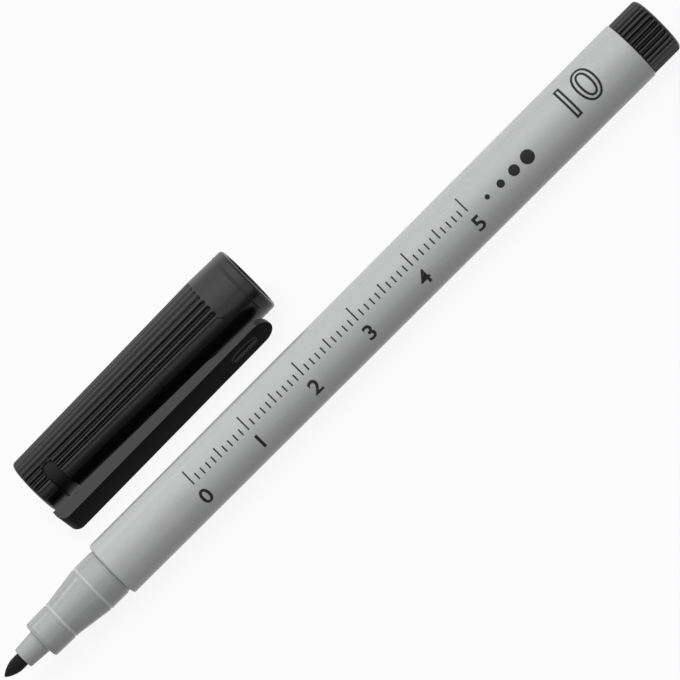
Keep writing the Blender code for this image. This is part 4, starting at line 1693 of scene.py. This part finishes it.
@dataclass
class PocketClip:
    """The bar that stands off the cap shell and grips a pocket's edge."""

    place: Matrix
    length: float = 38.22
    width: float = 4.40
    inner_radius: float = 6.05
    inner_rise: float = 0.30
    outer_radius: float = 8.30
    outer_fall: float = 0.62
    root_round: float = 1.50
    tip_length: float = 7.2
    tip_relief: float = 0.50
    tip_round: float = 0.62
    relief_slope: float = 2.1
    relief_round: float = 1.5
    side_arc_steps: int = 14
    plan_arc_steps: int = 24
    edge_round: float = 0.22
    edge_steps: int = 6
    edge_angle: float = math.radians(40.0)
    crease: float = math.radians(18.0)
    dimple_length: float = 5.4
    dimple_width: float = 2.3
    dimple_depth: float = 0.30
    dimple_from_tip: float = 4.9
    dimple_turns: int = 72
    dimple_rings: int = 48
    face_outward: float = 0.30
    face_aside: float = 0.17

    def side_outline(self) -> Outline:
        """Draw the side view.

        Returns:
            Its (level, radius) points.
        """
        step_end = self.length - self.tip_length
        inner = self.inner_radius + self.inner_rise
        relief = inner + self.tip_relief
        return rounded([
            Corner(0.0, self.inner_radius),
            Corner(0.0, self.outer_radius, self.root_round),
            Corner(self.length, self.outer_radius - self.outer_fall),
            Corner(self.length, relief, self.tip_round),
            Corner(step_end, relief, self.relief_round),
            Corner(step_end - self.relief_slope, inner, self.relief_round),
        ], closed=True, steps=self.side_arc_steps)

    def plan_outline(self) -> Outline:
        """Draw the view from outside, with a half-round free end.

        Returns:
            Its (level, y) points.
        """
        half = self.width / 2
        return rounded([
            Corner(self.length, half, half),
            Corner(self.length, -half, half),
            Corner(-half, -half),
            Corner(-half, half),
        ], closed=True, steps=self.plan_arc_steps)

    def dimple_tool(self) -> Mesh:
        """Make the flattened ball that presses the oval dimple into the outer face.

        Returns:
            The mesh.
        """
        size = Matrix.Diagonal((2 * self.dimple_depth, self.dimple_width / 2, self.dimple_length / 2, 1.0))
        level = self.length - self.dimple_from_tip
        face = self.outer_radius - self.outer_fall * level / self.length
        spot = Matrix.Translation((face + self.dimple_depth, 0.0, level))
        lean = Matrix.Rotation(-math.atan(self.outer_fall / self.length), 4, "Y")
        mesh = bpy.data.meshes.new("clip_dimple")
        with edited(mesh) as work:
            bmesh.ops.create_uvsphere(
                work, u_segments=self.dimple_turns, v_segments=self.dimple_rings, radius=1.0)
            bmesh.ops.transform(work, matrix=spot @ lean @ size, verts=work.verts)
        return mesh

    def build(self, material: Material, face: Material) -> Item:
        """Cross the side view with the outside view, round the edges, press in the dimple and lay the clip.

        Args:
            material: Its finish.
            face: A copy of its finish with almost no reflection for the flat outer face, painted shade.

        Returns:
            The piece.
        """
        bar = extruded("clip_bar", self.side_outline(), self.width)
        bar.transform(FROM_SIDE)
        plan = extruded("clip_plan", self.plan_outline(), CUT_THROUGH * self.outer_radius)
        plan.transform(FROM_OUTSIDE)
        item = held(combined(bar, plan, "INTERSECT"))
        edges = item.modifiers.new("edges", "BEVEL")
        edges.width = self.edge_round
        edges.segments = self.edge_steps
        edges.limit_method = "ANGLE"
        edges.angle_limit = self.edge_angle
        mesh = combined(baked(item), self.dimple_tool(), "DIFFERENCE")
        piece = lay(mesh, material, self.place, Body.CLIP, "pocket_clip")
        mesh.set_sharp_from_angle(angle=self.crease)
        outward, aside = (axis.normalized() for axis in self.place.to_3x3().col[:2])
        # The flat outer face takes the black without reflection, painted shade.
        paint(mesh, face, [
            polygon.normal.dot(outward) > self.face_outward
            and abs(polygon.normal.dot(aside)) < self.face_aside for polygon in mesh.polygons])
        return piece


@dataclass
class Studio:
    """The table, the arch of soft lights over it and the camera, in metres.

    Each strip of the arch has its angle above the line to the camera, in degrees, and its radiance.
    """

    table_size: float = 6.0
    table_drop: float = 0.02 * MM
    table_tone: float = 0.16
    table_pale: float = 0.90
    table_white: float = 0.90
    sky_tone: float = 0.06
    arch_radius: float = 0.45
    strip_length: float = 0.48
    strip_width: float = 0.118
    strips: tuple[tuple[float, float], ...] = (
        (-35.0, 0.55), (-15.0, 0.65), (5.0, 1.00), (20.0, 1.35), (35.0, 1.78), (50.0, 1.85), (65.0, 1.52),
        (80.0, 1.10), (95.0, 0.80), (112.0, 0.70), (128.0, 0.55))
    streak_angle: float = math.radians(84.0)
    streak_along: float = -0.14
    streak_length: float = 0.16
    streak_width: float = 0.09
    streak_radiance: float = 2.2
    lens: float = 260.0
    sensor_width: float = 36.0
    distance: float = 0.640
    roll: float = math.radians(45.0)
    aim_along: float = 0.00171
    aim_across: float = 0.00014

    @staticmethod
    def seen(graph: Graph) -> Socket:
        """Tell rays that show the background: from the camera, mirrored or through clear film.

        Args:
            graph: The table's or the world's nodes.

        Returns:
            1 for such a ray and 0 for others.
        """
        paths = graph.add("ShaderNodeLightPath").outputs
        mirrored = graph.math("MAXIMUM", paths["Is Glossy Ray"], paths["Is Transmission Ray"])
        return graph.math("MAXIMUM", paths["Is Camera Ray"], mirrored)

    def table_material(self) -> Material:
        """Make the pale finish that looks white where it is seen and still takes a shadow.

        Returns:
            The material.
        """
        material = bpy.data.materials.new("pale_table")
        material.use_nodes = True
        graph = Graph(material.node_tree)
        graph.tree.nodes.clear()
        seen = self.seen(graph)
        white = graph.math("MULTIPLY", seen, self.table_white)
        tone = graph.math("MULTIPLY_ADD", seen, self.table_pale - self.table_tone, self.table_tone)
        matt = graph.add("ShaderNodeBsdfDiffuse", {"Color": tone}).outputs[0]
        glow = graph.add("ShaderNodeEmission").outputs[0]
        mixed = graph.through(graph.add("ShaderNodeMixShader"), (white, matt, glow))
        graph.add("ShaderNodeOutputMaterial", {"Surface": mixed})
        return material

    def build_table(self) -> Item:
        """Lay the table under the pen and its cap.

        Returns:
            The table.
        """
        mesh = bpy.data.meshes.new("table")
        half = self.table_size / 2
        corners = [(-half, -half, 0.0), (half, -half, 0.0), (half, half, 0.0), (-half, half, 0.0)]
        mesh.from_pydata(corners, [], [(0, 1, 2, 3)])
        mesh.materials.append(self.table_material())
        table = held(mesh)
        table.location.z = -self.table_drop
        return table

    def facing(self) -> tuple[Vector, Vector]:
        """Return the directions up in the levelled picture and back to the camera."""
        rise = Vector((0.0, math.sin(VIEW_ELEVATION), math.cos(VIEW_ELEVATION)))
        return rise, ALONG_PEN.cross(rise)

    def on_arch(self, angle: float) -> Vector:
        """Return the place on the arch at an angle above the line to the camera."""
        rise, back = self.facing()
        return (back * math.cos(angle) + rise * math.sin(angle)) * self.arch_radius

    def hang(self, place: Vector, length: float, width: float, radiance: float) -> None:
        """Hang a soft light that faces the pen.

        Args:
            place: Where its middle is.
            length: Its extent along the pen.
            width: Its other extent.
            radiance: How bright its face is.
        """
        light = bpy.data.lights.new("soft_light", "AREA")
        light.shape = "RECTANGLE"
        light.size, light.size_y = length, width
        light.energy = radiance * math.pi * length * width
        outward = place.normalized()
        side = (ALONG_PEN - outward * ALONG_PEN.dot(outward)).normalized()
        turn = Matrix((side, outward.cross(side), outward)).transposed().to_4x4()
        held(light).matrix_world = Matrix.Translation(place) @ turn

    def build_light(self) -> None:
        """Hang strips of soft light on an arch over the pen and one over its nib, in a dim surrounding."""
        for degrees, radiance in self.strips:
            self.hang(self.on_arch(math.radians(degrees)), self.strip_length, self.strip_width, radiance)
        over_nib = self.on_arch(self.streak_angle) + ALONG_PEN * self.streak_along
        self.hang(over_nib, self.streak_length, self.streak_width, self.streak_radiance)
        world = bpy.data.worlds.new("surrounding")
        world.use_nodes = True
        bpy.context.scene.world = world
        graph = Graph(world.node_tree)
        sky = world.node_tree.nodes["Background"]
        strength = graph.math("MULTIPLY_ADD", self.seen(graph), 1.0 - self.sky_tone, self.sky_tone)
        graph.feed(sky.inputs["Color"], (1.0, 1.0, 1.0, 1.0))
        graph.feed(sky.inputs["Strength"], strength)

    def build_camera(self, axis: Vector) -> Item:
        """Set the camera in front of the pen, rolled so that the pen runs up to the right.

        Args:
            axis: A point on the pen's axis, under the middle of the picture.

        Returns:
            The camera.
        """
        rise, back = self.facing()
        across = ALONG_PEN * math.cos(self.roll) - rise * math.sin(self.roll)
        up = ALONG_PEN * math.sin(self.roll) + rise * math.cos(self.roll)
        aim = Vector((self.aim_along, axis.y, axis.z)) + rise * self.aim_across
        camera = held(bpy.data.cameras.new("camera"))
        camera.data.lens = self.lens
        camera.data.sensor_width = self.sensor_width
        turn = Matrix((across, up, back)).transposed().to_4x4()
        camera.matrix_world = Matrix.Translation(aim + back * self.distance) @ turn
        bpy.context.scene.camera = camera
        return camera


def main() -> None:
    """Build the pen, its print, the cap and the studio, in that order."""
    logging.basicConfig(level=logging.INFO, format="%(name)s: %(message)s")
    effects = Effects()
    pen, cap = pen_place(), cap_place()
    black = MATT_BLACK.material(effects)
    barrel = Barrel(pen)
    barrel.build(GREY_BARREL.material(effects))
    front = FrontSection(pen, barrel)
    front.build(GREY_FRONT.material(effects), GREY_BEAD_HIGHLIGHT.material(effects))
    Nib(pen, front).build(NIB_FIBRE.material(effects))
    EndPlug(pen).build(PLUG_BLACK.material(effects))
    InkStore().dress(INK_FIBRE.material(effects), CLEAR_FILM.material(effects))
    ink = BLACK_PRINT.material(effects)
    marks = BarrelPrint(pen, barrel)
    marks.build_ticks(ink)
    marks.build_numbers(ink)
    marks.build_dots(ink)
    marks.build_width(ink)
    CapShell(cap).build(black)
    InnerCap(cap).build(BLACK_LINER.material(effects))
    PocketClip(cap).build(black, CLIP_FACE_SHADE.material(effects))
    studio = Studio()
    studio.build_table()
    studio.build_light()
    studio.build_camera(pen.translation)
    bpy.context.scene.view_settings.view_transform = "Standard"


if __name__ == "__main__":
    main()
